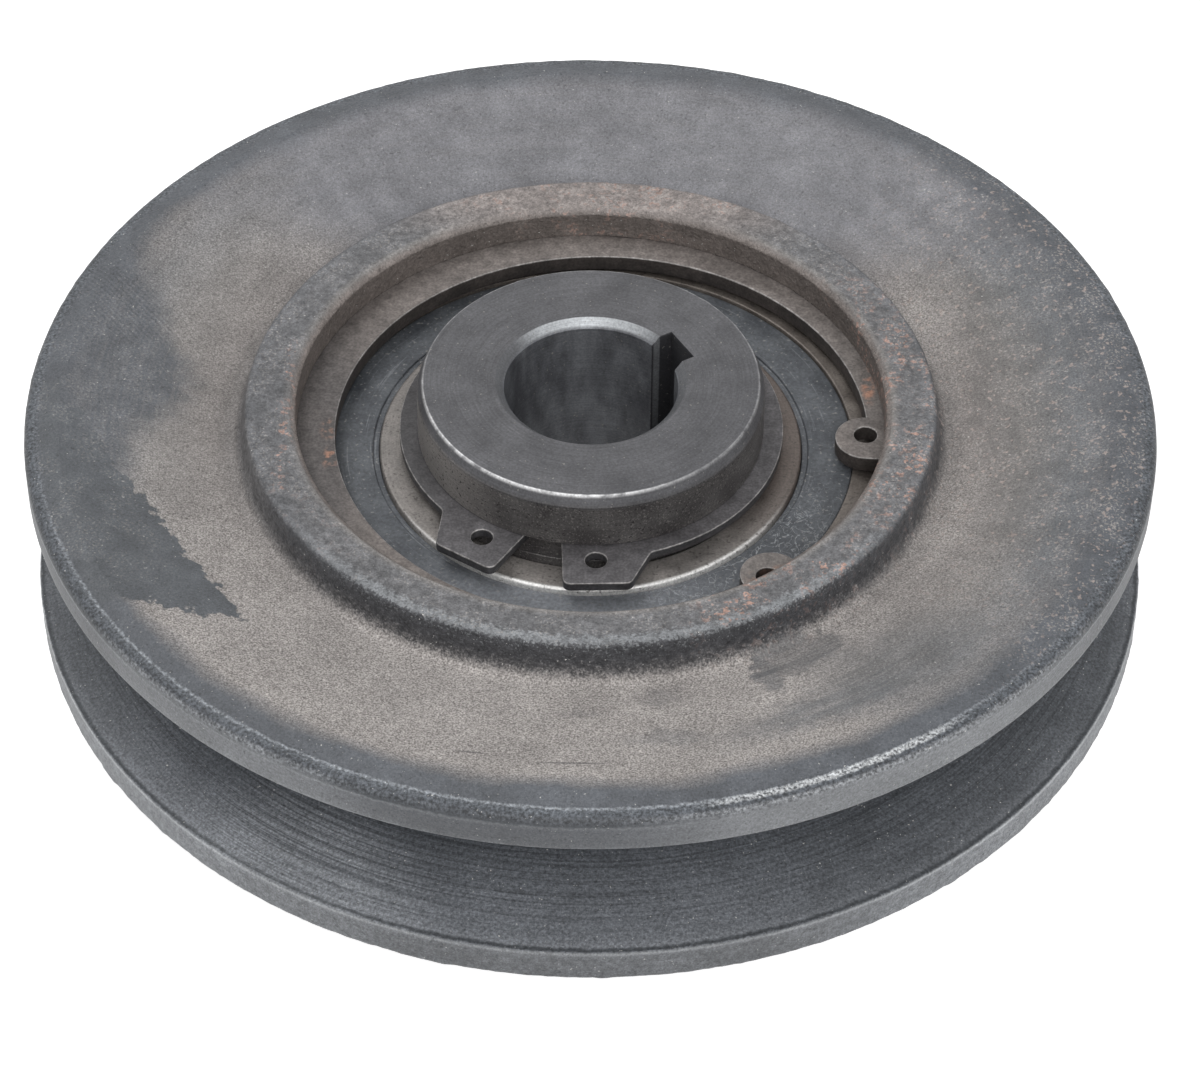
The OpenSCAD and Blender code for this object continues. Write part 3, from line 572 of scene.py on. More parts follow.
        shade = addNode(tree, "ShaderNodeMapRange", {"Value": pattern, 1: 0.32, 2: 0.68, 3: low, 4: high})
        grained = addNode(tree, "ShaderNodeVectorMath", {0: colour, "Scale": shade}, operation="SCALE")
        colour = addNode(tree, "ShaderNodeMix", {0: mask, 6: colour, 7: grained}, out=2, data_type="RGBA")
    turnedPart = addNode(tree, "ShaderNodeMath", {0: inGroove, 1: onFace}, operation="MAXIMUM")
    shade = addNode(tree, "ShaderNodeMapRange", {"Value": rings, 1: 0.34, 2: 0.66, 3: 0.68, 4: 1.32})
    ringed = addNode(tree, "ShaderNodeVectorMath", {0: colour, "Scale": shade}, operation="SCALE")
    deep = addNode(tree, "ShaderNodeMapRange", {"Value": radius, 1: rim - 1.0, 2: rim - 6.0, 3: 0.2})
    ringShare = addNode(tree, "ShaderNodeMath", {0: turnedPart, 1: deep}, operation="MULTIPLY")
    colour = addNode(tree, "ShaderNodeMix", {0: ringShare, 6: colour, 7: ringed}, out=2, data_type="RGBA")
    tree.links.new(colour, shader.inputs["Base Color"])

    # Dust is dull, wiped iron has a soft gloss
    gloss = addNode(tree, "ShaderNodeMapRange", {"Value": dust, 3: 0.5, 4: 0.85})
    tree.links.new(gloss, shader.inputs["Roughness"])
    lumps = addNode(tree, "ShaderNodeMapRange", {"Value": radius, 1: boss + 1.5, 2: boss + 1.0, 3: 1.0, 4: 5.0})
    relief = addNode(tree, "ShaderNodeMath", {0: cast, 1: lumps}, operation="MULTIPLY")
    relief = addNode(tree, "ShaderNodeMath", {0: grit, 1: 2.0, 2: relief}, operation="MULTIPLY_ADD")
    bump = addNode(tree, "ShaderNodeBump", {"Strength": 0.7, "Distance": 0.07 * mm, "Height": relief})
    tree.links.new(bump, shader.inputs["Normal"])
    return material


hubLook = {"turning": 0.22, "turningLength": 14.0, "mottle": 5.0, "smear": 2.4, "dustSpeck": 0.4, "chip": 1.5,
           "grain": 0.25, "sideSpeck": 0.22}


# Medium-carbon steel, turned and oil-blackened: even grey with faint rings, edges rubbed bright with a painted
# highlight added at the front-left, painted reflections on the bore's chamfer and smeared down the bore, and a dusty
# brown side that painted light makes paler at the left
def makeHubSteel():
    look, h = hubLook, hubSize
    material, tree, shader = newMaterial("carbonSteelTurnedBlackened", 0.45, metallic=0.35)
    place, radius, height = positionIn(tree)
    rings = latheLines(tree, place, radius, height, look["turning"], look["turningLength"])
    mottle = addNode(tree, "ShaderNodeTexNoise", {"Vector": place, "Scale": 1 / look["mottle"], "Detail": 5.0})
    chip = addNode(tree, "ShaderNodeTexNoise", {"Vector": place, "Scale": 1 / look["chip"], "Detail": 4.0})
    speck = speckMask(tree, place, look["dustSpeck"], 0.08)
    grain = addNode(tree, "ShaderNodeTexNoise", {"Vector": place, "Scale": 1 / look["grain"], "Detail": 2.0})
    stretched = addNode(tree, "ShaderNodeVectorMath", {0: place, 1: (1, 1, 0.4)}, operation="MULTIPLY")
    smear = addNode(tree, "ShaderNodeTexNoise", {"Vector": stretched, "Scale": 1 / look["smear"], "Detail": 5.0})
    shifted = addNode(tree, "ShaderNodeVectorMath", {0: place, 1: (31, 17, 9)}, operation="ADD")
    top = addNode(tree, "ShaderNodeValToRGB", {0: mottle}, stops=[(0.3, "#515154"), (0.7, "#5f5f62")])
    side = addNode(tree, "ShaderNodeValToRGB", {0: mottle}, stops=[(0.3, "#4e4b4b"), (0.7, "#666463")])
    # Painted reflections: the bore's light and dark smears, stretched up and down
    bore = addNode(tree, "ShaderNodeValToRGB", {0: smear}, stops=[(0.34, "#4d4e52"), (0.66, "#717377")])
    # Painted light: the side is paler at the left
    paler = addNode(tree, "ShaderNodeGroup", {"Place": place, "Centre": (-20, -6, 0), "Reach": (6, 14, 1),
                                              "Turn": math.radians(15), "Softness": 0.6}, node_tree=stainShape)
    side = addNode(tree, "ShaderNodeMix", {0: paler, 6: side, 7: srgb("#96928f")}, out=2, data_type="RGBA")
    grit = speckMask(tree, place, look["sideSpeck"], 0.24)
    grit = addNode(tree, "ShaderNodeMath", {0: grit, 1: 0.6}, operation="MULTIPLY")
    side = addNode(tree, "ShaderNodeMix", {0: grit, 6: side, 7: srgb("#94908d")}, out=2, data_type="RGBA")
    pits = speckMask(tree, shifted, look["sideSpeck"] * 1.5, 0.2)
    side = addNode(tree, "ShaderNodeMix", {0: pits, 6: side, 7: srgb("#393637")}, out=2, data_type="RGBA")
    onSide = addNode(tree, "ShaderNodeMapRange", {"Value": height, 1: h["top"] - 1.0, 2: h["top"] - 1.8})
    colour = addNode(tree, "ShaderNodeMix", {0: onSide, 6: top, 7: side}, out=2, data_type="RGBA")
    inBore = addNode(tree, "ShaderNodeMapRange", {"Value": radius, 1: h["boreRadius"] + 0.3, 2: h["boreRadius"] + 0.1})
    colour = addNode(tree, "ShaderNodeMix", {0: inBore, 6: colour, 7: bore}, out=2, data_type="RGBA")
    # The keyway's walls are dark
    turned = addNode(tree, "ShaderNodeVectorRotate", {"Vector": place, "Angle": math.radians(h["keyAngle"])},
                     rotation_type="Z_AXIS", invert=True)
    along, aside, up = addNode(tree, "ShaderNodeSeparateXYZ", {0: turned}, out=None).outputs
    aside = addNode(tree, "ShaderNodeMath", {0: aside}, operation="ABSOLUTE")
    inSlot = addNode(tree, "ShaderNodeMapRange", {"Value": aside, 1: h["keyWidth"] / 2 + 0.1, 2: h["keyWidth"] / 2})
    reach = h["boreRadius"] + h["keyDepth"]
    for value, low, high in ((along, 8.0, 9.0), (along, reach + 0.2, reach + 0.1), (up, h["top"] - 0.02, h["top"] - 0.3)):
        part = addNode(tree, "ShaderNodeMapRange", {"Value": value, 1: low, 2: high})
        inSlot = addNode(tree, "ShaderNodeMath", {0: inSlot, 1: part}, operation="MULTIPLY")
    colour = addNode(tree, "ShaderNodeMix", {0: inSlot, 6: colour, 7: srgb("#3b3b3e")}, out=2, data_type="RGBA")
    # Rubbed edges: the outer top edge in chips, with a painted highlight strongest at the front-left; the bore's
    # chamfer evenly, with a painted reflection at the back
    edge = h["radius"] - h["bevelWidth"]
    near = addNode(tree, "ShaderNodeMath", {0: radius, 1: edge}, operation="SUBTRACT")
    near = addNode(tree, "ShaderNodeMath", {0: near}, operation="ABSOLUTE")
    near = addNode(tree, "ShaderNodeMapRange", {"Value": near, 1: 0.2, 2: 0.06})
    level = addNode(tree, "ShaderNodeMapRange", {"Value": height, 1: h["top"] - 0.5, 2: h["top"] - 0.2})
    broken = addNode(tree, "ShaderNodeMapRange", {"Value": chip, 1: 0.36, 2: 0.56, 3: 0.25})
    rubbed = addNode(tree, "ShaderNodeMath", {0: near, 1: level}, operation="MULTIPLY")
    frontLeft = addNode(tree, "ShaderNodeGroup", {"Place": place, "Centre": (-9, -15, 0), "Reach": (19, 9, 1),
                                                  "Turn": math.radians(-30), "Softness": 0.5}, node_tree=stainShape)
    frontLeft = addNode(tree, "ShaderNodeMapRange", {"Value": frontLeft, 3: 0.3, 4: 1.0})
    for part in (broken, frontLeft):
        rubbed = addNode(tree, "ShaderNodeMath", {0: rubbed, 1: part}, operation="MULTIPLY")
    colour = addNode(tree, "ShaderNodeMix", {0: rubbed, 6: colour, 7: srgb("#d6d6d7")}, out=2, data_type="RGBA")
    slope = addNode(tree, "ShaderNodeMapRange",
                    {"Value": radius, 1: h["boreRadius"] + h["boreChamfer"] + 0.05, 2: h["boreRadius"] + 0.95})
    notBore = addNode(tree, "ShaderNodeMath", {0: 1.0, 1: inBore}, operation="SUBTRACT")
    slope = addNode(tree, "ShaderNodeMath", {0: slope, 1: notBore}, operation="MULTIPLY")
    # Painted reflection: a pale patch on the bore's chamfer at the back
    bright = addNode(tree, "ShaderNodeGroup", {"Place": place, "Centre": (-1, 11, 0), "Reach": (9, 5, 1),
                                               "Softness": 0.4}, node_tree=stainShape)
    chamfer = addNode(tree, "ShaderNodeMix", {0: bright, 6: srgb("#5f6063"), 7: srgb("#a2a5a8")}, out=2,
                      data_type="RGBA")
    colour = addNode(tree, "ShaderNodeMix", {0: slope, 6: colour, 7: chamfer}, out=2, data_type="RGBA")
    colour = addNode(tree, "ShaderNodeMix", {0: speck, 6: colour, 7: srgb("#85837f")}, out=2, data_type="RGBA")
    for pattern, low, high in ((rings, 0.86, 1.14), (grain, 0.8, 1.2), (mottle, 0.92, 1.08)):
        shade = addNode(tree, "ShaderNodeMapRange", {"Value": pattern, 1: 0.3, 2: 0.7, 3: low, 4: high})
        colour = addNode(tree, "ShaderNodeVectorMath", {0: colour, "Scale": shade}, operation="SCALE")
    tree.links.new(colour, shader.inputs["Base Color"])
    gloss = addNode(tree, "ShaderNodeMapRange", {"Value": mottle, 1: 0.3, 2: 0.7, 3: 0.4, 4: 0.55})
    tree.links.new(gloss, shader.inputs["Roughness"])
    bump = addNode(tree, "ShaderNodeBump", {"Strength": 0.3, "Distance": 0.02 * mm, "Height": rings})
    tree.links.new(bump, shader.inputs["Normal"])
    return material


ringLook = {"grinding": 0.16, "grindingLength": 18.0, "film": 3.0, "grit": 0.3, "dirt": 0.5, "outerFrom": 29.0}


# Bearing steel, hardened and ground: pale even metal with hair-fine rings, under a film of beige dust, and a painted
# highlight along the inner ring's outer edge at the front
def makeRingSteel():
    look = ringLook
    material, tree, shader = newMaterial("bearingSteelGround", 0.4, metallic=0.4)
    place, radius, height = positionIn(tree)
    rings = latheLines(tree, place, radius, height, look["grinding"], look["grindingLength"])
    film = addNode(tree, "ShaderNodeTexNoise", {"Vector": place, "Scale": 1 / look["film"], "Detail": 5.0})
    grit = addNode(tree, "ShaderNodeTexNoise", {"Vector": place, "Scale": 1 / look["grit"], "Detail": 2.0})
    clean = addNode(tree, "ShaderNodeValToRGB", {0: film}, stops=[(0.3, "#797572"), (0.7, "#928d89")])
    grimy = addNode(tree, "ShaderNodeValToRGB", {0: film}, stops=[(0.3, "#5f5853"), (0.7, "#79726c")])
    outer = addNode(tree, "ShaderNodeMapRange", {"Value": radius, 1: look["outerFrom"], 2: look["outerFrom"] + 1})
    rim = bearingSize["innerRingRadius"]
    # Painted highlight: a near-white line along the inner ring's outer edge, at the front
    edge = addNode(tree, "ShaderNodeMapRange", {"Value": radius, 1: rim - 0.55, 2: rim - 0.25})
    front = addNode(tree, "ShaderNodeGroup", {"Place": place, "Centre": (2, -24, 0), "Reach": (24, 13, 1),
                                              "Softness": 0.5}, node_tree=stainShape)
    edge = addNode(tree, "ShaderNodeMath", {0: edge, 1: front}, operation="MULTIPLY")
    brown = addNode(tree, "ShaderNodeGroup", {"Place": place, "Centre": (23, 4, 0), "Reach": (9, 20, 1),
                                              "Softness": 0.6}, node_tree=stainShape)
    clean = addNode(tree, "ShaderNodeMix", {0: brown, 6: clean, 7: srgb("#665d58")}, out=2, data_type="RGBA")
    clean = addNode(tree, "ShaderNodeMix", {0: edge, 6: clean, 7: srgb("#e4e3e1")}, out=2, data_type="RGBA")
    colour = addNode(tree, "ShaderNodeMix", {0: outer, 6: clean, 7: grimy}, out=2, data_type="RGBA")
    dirt = speckMask(tree, place, look["dirt"], 0.2)
    dirt = addNode(tree, "ShaderNodeMath", {0: dirt, 1: 0.6}, operation="MULTIPLY")
    colour = addNode(tree, "ShaderNodeMix", {0: dirt, 6: colour, 7: srgb("#4d4845")}, out=2, data_type="RGBA")
    for pattern, low, high in ((rings, 0.9, 1.1), (grit, 0.78, 1.18)):
        shade = addNode(tree, "ShaderNodeMapRange", {"Value": pattern, 1: 0.3, 2: 0.7, 3: low, 4: high})
        colour = addNode(tree, "ShaderNodeVectorMath", {0: colour, "Scale": shade}, operation="SCALE")
    tree.links.new(colour, shader.inputs["Base Color"])
    gloss = addNode(tree, "ShaderNodeMapRange", {"Value": film, 1: 0.3, 2: 0.7, 3: 0.32, 4: 0.55})
    tree.links.new(gloss, shader.inputs["Roughness"])
    bump = addNode(tree, "ShaderNodeBump", {"Strength": 0.25, "Distance": 0.02 * mm, "Height": grit})
    tree.links.new(bump, shader.inputs["Normal"])
    return material


sealLook = {"scratch": 0.3, "scratchLength": 9.0, "bloom": 4.0, "grit": 0.35, "speck": 0.5, "lint": 1.3}


# Nitrile rubber, moulded: dark blue-grey and a little greasy, with fine scuffs round the axis and specks of dust, and
# painted light that makes it lighter at the front
def makeSealRubber():
    look = sealLook
    material, tree, shader = newMaterial("nitrileRubberMoulded", 0.5, specular=0.4)
    place, radius, height = positionIn(tree)
    scuff = latheLines(tree, place, radius, height, look["scratch"], look["scratchLength"])
    bloom = addNode(tree, "ShaderNodeTexNoise", {"Vector": place, "Scale": 1 / look["bloom"], "Detail": 5.0})
    grit = addNode(tree, "ShaderNodeTexNoise", {"Vector": place, "Scale": 1 / look["grit"], "Detail": 2.0})
    speck = speckMask(tree, place, look["speck"], 0.17)
    colour = addNode(tree, "ShaderNodeValToRGB", {0: bloom}, stops=[(0.28, "#43464b"), (0.72, "#616468")])
    # Painted light: the seal is lighter at the front
    front = addNode(tree, "ShaderNodeGroup", {"Place": place, "Centre": (-2, -30, 0), "Reach": (26, 9, 1),
                                              "Softness": 0.6}, node_tree=stainShape)
    colour = addNode(tree, "ShaderNodeMix", {0: front, 6: colour, 7: srgb("#75787d")}, out=2, data_type="RGBA")
    line = addNode(tree, "ShaderNodeMapRange", {"Value": scuff, 1: 0.6, 2: 0.72, 4: 0.5})
    colour = addNode(tree, "ShaderNodeMix", {0: line, 6: colour, 7: srgb("#888b8f")}, out=2, data_type="RGBA")
    # Lint: thin curls where a soft noise passes its middle value
    curl = addNode(tree, "ShaderNodeTexNoise", {"Vector": place, "Scale": 1 / look["lint"], "Detail": 2.0,
                                                "Distortion": 0.6})
    curl = addNode(tree, "ShaderNodeMath", {0: curl, 1: 0.5}, operation="SUBTRACT")
    curl = addNode(tree, "ShaderNodeMath", {0: curl}, operation="ABSOLUTE")
    curl = addNode(tree, "ShaderNodeMapRange", {"Value": curl, 1: 0.02, 2: 0.006, 4: 0.6})
    linty = addNode(tree, "ShaderNodeGroup", {"Place": place, "Centre": (17, -19, 0), "Reach": (9, 13, 1),
                                              "Turn": math.radians(-42), "Softness": 0.5}, node_tree=stainShape)
    curl = addNode(tree, "ShaderNodeMath", {0: curl, 1: linty}, operation="MULTIPLY")
    colour = addNode(tree, "ShaderNodeMix", {0: curl, 6: colour, 7: srgb("#a6a9ac")}, out=2, data_type="RGBA")
    shade = addNode(tree, "ShaderNodeMapRange", {"Value": radius, 1: 28.2, 2: 28.8, 3: 1.06, 4: 0.9})
    colour = addNode(tree, "ShaderNodeVectorMath", {0: colour, "Scale": shade}, operation="SCALE")
    dusty = addNode(tree, "ShaderNodeMath", {0: speck, 1: 0.6}, operation="MULTIPLY")
    colour = addNode(tree, "ShaderNodeMix", {0: dusty, 6: colour, 7: srgb("#8f8e8c")}, out=2, data_type="RGBA")
    shade = addNode(tree, "ShaderNodeMapRange", {"Value": grit, 1: 0.3, 2: 0.7, 3: 0.76, 4: 1.24})
    colour = addNode(tree, "ShaderNodeVectorMath", {0: colour, "Scale": shade}, operation="SCALE")
    tree.links.new(colour, shader.inputs["Base Color"])
    gloss = addNode(tree, "ShaderNodeMapRange", {"Value": bloom, 1: 0.3, 2: 0.7, 3: 0.45, 4: 0.62})
    tree.links.new(gloss, shader.inputs["Roughness"])
    relief = addNode(tree, "ShaderNodeMath", {0: scuff, 1: grit}, operation="ADD")
    bump = addNode(tree, "ShaderNodeBump", {"Strength": 0.35, "Distance": 0.03 * mm, "Height": relief})
    tree.links.new(bump, shader.inputs["Normal"])
    return material


clipLook = {
    "grain": 0.3, "film": 5.0, "rust": 1.2,
    "rustSpots": ((-30.3, -1.2, 0.8, 1.4), (-29.8, -6.0, 0.8, 1.6), (32.4, 6.8, 0.7, 2.6), (21.5, -25.2, 3.0, 1.6)),
    "tones": ((-33, -3, 7, 24, "#524f4f"), (34, 10, 5, 15, "#6a6562"), (20.6, -23.5, 5.0, 4.6, "#77726f")),
    "hubTones": ((-21, -3, 5, 14, "#3b3a3b"),),
}


# Spring steel, blanked and phosphated: dull dark grain; top is the upper face's height, dusty the colours on it
def makeClipSteel(name, top, edgeColours, dustColours, tones=(), rustSpots=()):
    look = clipLook
    material, tree, shader = newMaterial(name, 0.5, metallic=0.2, specular=0.4)
    place, radius, height = positionIn(tree)
    grain = addNode(tree, "ShaderNodeTexNoise", {"Vector": place, "Scale": 1 / look["grain"], "Detail": 2.0})
    film = addNode(tree, "ShaderNodeTexNoise",
                   {"Vector": place, "Scale": 1 / look["film"], "Detail": 6.0, "Roughness": 0.6})
    patch = addNode(tree, "ShaderNodeTexNoise", {"Vector": place, "Scale": 1 / look["rust"], "Detail": 5.0})
    edge = addNode(tree, "ShaderNodeValToRGB", {0: film}, stops=list(zip((0.3, 0.7), edgeColours)))
    dust = addNode(tree, "ShaderNodeValToRGB", {0: film}, stops=list(zip((0.3, 0.7), dustColours)))
    for x, y, long, wide, tone in tones:
        spot = addNode(tree, "ShaderNodeGroup", {"Place": place, "Centre": (x, y, 0), "Reach": (long, wide, 1),
                                                 "Softness": 0.5}, node_tree=stainShape)
        spot = addNode(tree, "ShaderNodeMath", {0: spot, 1: 0.75}, operation="MULTIPLY")
        dust = addNode(tree, "ShaderNodeMix", {0: spot, 6: dust, 7: srgb(tone)}, out=2, data_type="RGBA")
    onTop = addNode(tree, "ShaderNodeMapRange", {"Value": height, 1: top - 0.2, 2: top - 0.05})
    colour = addNode(tree, "ShaderNodeMix", {0: onTop, 6: edge, 7: dust}, out=2, data_type="RGBA")
    rusty = addNode(tree, "ShaderNodeMapRange", {"Value": patch, 1: 0.46, 2: 0.6})
    for x, y, long, wide in rustSpots:
        spot = addNode(tree, "ShaderNodeGroup", {"Place": place, "Centre": (x, y, 0), "Reach": (long, wide, 1),
                                                 "Softness": 0.6}, node_tree=stainShape)
        spot = addNode(tree, "ShaderNodeMath", {0: spot, 1: rusty}, operation="MULTIPLY")
        colour = addNode(tree, "ShaderNodeMix", {0: spot, 6: colour, 7: srgb("#93705f")}, out=2, data_type="RGBA")
    # The upper edges are rubbed a little and carry a painted highlight
    edgeIn = addNode(tree, "ShaderNodeMapRange", {"Value": height, 1: top - 0.2, 2: top - 0.12})
    edgeOut = addNode(tree, "ShaderNodeMapRange", {"Value": height, 1: top - 0.005, 2: top - 0.03})
    rubbed = addNode(tree, "ShaderNodeMath", {0: edgeIn, 1: edgeOut}, operation="MULTIPLY")
    rubbed = addNode(tree, "ShaderNodeMath", {0: rubbed, 1: patch}, operation="MULTIPLY")
    colour = addNode(tree, "ShaderNodeMix", {0: rubbed, 6: colour, 7: srgb("#b5b2b0")}, out=2, data_type="RGBA")
    for pattern, low, high in ((grain, 0.76, 1.24), (patch, 0.76, 1.22)):
        shade = addNode(tree, "ShaderNodeMapRange", {"Value": pattern, 1: 0.3, 2: 0.7, 3: low, 4: high})
        colour = addNode(tree, "ShaderNodeVectorMath", {0: colour, "Scale": shade}, operation="SCALE")
    tree.links.new(colour, shader.inputs["Base Color"])
    gloss = addNode(tree, "ShaderNodeMapRange", {"Value": film, 1: 0.3, 2: 0.7, 3: 0.42, 4: 0.65})
    tree.links.new(gloss, shader.inputs["Roughness"])
    bump = addNode(tree, "ShaderNodeBump", {"Strength": 0.35, "Distance": 0.03 * mm, "Height": grain})
    tree.links.new(bump, shader.inputs["Normal"])
    return material


cageLook = {"rolling": 0.25, "rollingLength": 6.0, "oil": 2.5, "polish": 0.6}


# Low-carbon strip, cold rolled and pressed: bright grey with drawn lines and a thin brown film of grease
def makeCageSteel():
    look = cageLook
    material, tree, shader = newMaterial("lowCarbonSteelPressed", 0.35, metallic=1.0)
    place, radius, height = positionIn(tree)
    lines = latheLines(tree, place, radius, height, look["rolling"], look["rollingLength"])
    oil = addNode(tree, "ShaderNodeTexNoise", {"Vector": place, "Scale": 1 / look["oil"], "Detail": 4.0})
    colour = addNode(tree, "ShaderNodeValToRGB", {0: oil}, stops=[(0.3, "#7d7a74"), (0.7, "#a3a2a0")])
    shade = addNode(tree, "ShaderNodeMapRange", {"Value": lines, 1: 0.3, 2: 0.7, 3: 0.9, 4: 1.1})
    colour = addNode(tree, "ShaderNodeVectorMath", {0: colour, "Scale": shade}, operation="SCALE")
    tree.links.new(colour, shader.inputs["Base Color"])
    gloss = addNode(tree, "ShaderNodeMapRange", {"Value": oil, 1: 0.3, 2: 0.7, 3: 0.25, 4: 0.45})
    tree.links.new(gloss, shader.inputs["Roughness"])
    bump = addNode(tree, "ShaderNodeBump", {"Strength": 0.2, "Distance": 0.01 * mm, "Height": lines})
    tree.links.new(bump, shader.inputs["Normal"])
    return material


# Chromium steel, lapped: a mirror that the grease clouds and the running tracks dull a little
def makeBallSteel():
    look = cageLook
    material, tree, shader = newMaterial("chromiumSteelLapped", 0.12, metallic=1.0)
    place, radius, height = positionIn(tree)
    oil = addNode(tree, "ShaderNodeTexNoise", {"Vector": place, "Scale": 1 / look["oil"], "Detail": 4.0})
    haze = addNode(tree, "ShaderNodeTexNoise", {"Vector": place, "Scale": 1 / look["polish"], "Detail": 3.0})
    colour = addNode(tree, "ShaderNodeValToRGB", {0: oil}, stops=[(0.3, "#b3b0aa"), (0.7, "#c8c8c9")])
    tree.links.new(colour, shader.inputs["Base Color"])
    gloss = addNode(tree, "ShaderNodeMapRange", {"Value": haze, 1: 0.3, 2: 0.7, 3: 0.08, 4: 0.2})
    tree.links.new(gloss, shader.inputs["Roughness"])
    return material


# Sheave: one iron casting, turned in the groove and the bearing bore

sheaveSize = {
    "rimRadius": 65.0, "width": 27.0, "edgeDrop": 0.7, "edgeRound": 1.1, "bandInset": 4.0,
    "grooveWidth": 16.8, "grooveDepth": 14.5, "grooveAngle": 38.0, "floorRound": 1.5, "lipRound": 0.4,
    "bossRadius": 39.75, "bossDrop": 0.3, "dishDrop": 5.2, "bossDraft": 0.9, "bossFillet": 1.7, "bossRound": 0.6,
    "mouthChamfer": 0.7, "shoulderRadius": 31.0, "bearingRadius": 34.0, "bearingTop": 19.8, "bearingBottom": 4.8,
    "clipBottom": 20.55, "clipTop": 22.75, "clipRadius": 35.5,
    "segments": 576, "rimStep": 0.55, "bossStep": 0.8, "plainStep": 3.0,
    "grain": 0.45, "grainSize": 1.3, "chipDepth": 0.35, "chipSize": 3.2,
}


def sheaveCorners():
    s = sheaveSize
    mid = s["width"] / 2
    floorRadius = s["rimRadius"] - s["grooveDepth"]
    floorHalf = s["grooveWidth"] / 2 - s["grooveDepth"] * math.tan(math.radians(s["grooveAngle"] / 2))
    side = [
        (floorRadius, floorHalf, s["floorRound"]),
        (s["rimRadius"], s["grooveWidth"] / 2, s["lipRound"]),
        (s["rimRadius"], mid - s["edgeDrop"], s["edgeRound"]),
        (s["rimRadius"] - s["bandInset"], mid, 0.8),
        (s["bossRadius"] + s["bossDraft"], mid - s["dishDrop"], s["bossFillet"]),
        (s["bossRadius"], mid - s["bossDrop"], s["bossRound"]),
    ]
    under = [(r, mid - h, c) for r, h, c in reversed(side)]
    over = [(r, mid + h, c) for r, h, c in side]
    top = s["width"] - s["bossDrop"]
    bore = [
        (s["bearingRadius"] + s["mouthChamfer"], top, 0.35),
        (s["bearingRadius"], top - s["mouthChamfer"], 0.25),
        (s["bearingRadius"], s["clipTop"], 0.1),
        (s["clipRadius"], s["clipTop"], 0),
        (s["clipRadius"], s["clipBottom"], 0),
        (s["bearingRadius"], s["clipBottom"], 0),
        (s["bearingRadius"], s["bearingBottom"], 0),
        (s["shoulderRadius"], s["bearingBottom"], 0.2),
        (s["shoulderRadius"], s["bossDrop"] + s["mouthChamfer"], 0),
        (s["shoulderRadius"] + s["mouthChamfer"], s["bossDrop"], 0),
    ]
    return under + over + bore


# Fine runs where the casting is rough, coarse ones where it was turned
def sheaveStep(r, z):
    s = sheaveSize
    if r > s["rimRadius"] - s["bandInset"]:
        return s["rimStep"]
    return s["bossStep"] if r < s["bossRadius"] + 1.5 and abs(z - s["width"] / 2) > 10 else s["plainStep"]


# Share of the cast grain: full on the rim's corners, half on the boss, little on the turned faces
def sheaveRough(r, z):
    s = sheaveSize
    fromMiddle = abs(z - s["width"] / 2)
    if r > s["rimRadius"] - 2.4 and fromMiddle > s["width"] / 2 - 1.2:
        return 0.45 if z > s["width"] / 2 else 0.7
    if r > s["rimRadius"] - 0.5 and fromMiddle > s["grooveWidth"] / 2:
        return 0.15 if z > s["width"] / 2 else 0.6
    if s["bearingRadius"] + 1.6 < r < s["bossRadius"] + 0.8 and fromMiddle > 9:
        return 0.7
    return 0.0


# Chips break out of the rim's corners and, less, the groove's lips
def sheaveChips(r, z):
    s = sheaveSize
    fromMiddle = abs(z - s["width"] / 2)
    if r < s["rimRadius"] - 1.0 or fromMiddle < s["grooveWidth"] / 2 - 0.2:
        return 0.0
    lower = 0.4 if z < s["width"] / 2 else 0.15
    if fromMiddle > s["width"] / 2 - 1.6:
        return lower
    return lower * 0.4 if fromMiddle < s["grooveWidth"] / 2 + 0.3 else 0.0


def makeSheave():
    s = sheaveSize
    piece = turnedPiece("castSheave", sheaveCorners(), makeCastIron(), segments=s["segments"], step=sheaveStep,
                        surface=s, rough=sheaveRough, chips=sheaveChips, sharp=40.0)
    dress(piece, "sheave", "sheave")


makeSheave()
print("sheave made")


# Hub: turned steel with a keyed bore

hubSize = {
    "radius": 20.0, "bottom": 0.6, "top": 29.6, "bevelHeight": 1.4, "bevelWidth": 0.65, "topRound": 0.15,
    "flangeRadius": 23.5, "flangeTop": 4.8, "flangeChamfer": 0.8,
    "grooveRadius": 18.75, "grooveBottom": 20.1, "grooveTop": 22.5,
    "boreRadius": 10.0, "boreChamfer": 1.0, "keyWidth": 5.0, "keyDepth": 2.3, "keyAngle": 30.6, "segments": 360,
    "grain": 0.0, "grainSize": 1.0, "chipDepth": 0.06, "chipSize": 1.3,
}


def hubCorners():
    h = hubSize
    return [
        (h["boreRadius"] + h["boreChamfer"], h["bottom"], 0),
        (h["flangeRadius"] - h["flangeChamfer"], h["bottom"], 0),
        (h["flangeRadius"], h["bottom"] + h["flangeChamfer"], 0),
        (h["flangeRadius"], h["flangeTop"], 0),
        (h["radius"], h["flangeTop"], 0),
        (h["radius"], h["grooveBottom"], 0.12),
        (h["grooveRadius"], h["grooveBottom"], 0),
        (h["grooveRadius"], h["grooveTop"], 0),
        (h["radius"], h["grooveTop"], 0.12),
        (h["radius"], h["top"] - h["bevelHeight"], 0.3),
        (h["radius"] - h["bevelWidth"], h["top"], h["topRound"]),
        (h["boreRadius"] + h["boreChamfer"], h["top"], 0.15),
        (h["boreRadius"], h["top"] - h["boreChamfer"], 0.15),
        (h["boreRadius"], h["bottom"] + h["boreChamfer"], 0),
    ]


# Small chips along the top edge
def hubChips(r, z):
    return 1.0 if z > hubSize["top"] - 0.3 and r > hubSize["radius"] - 1.0 else 0.0


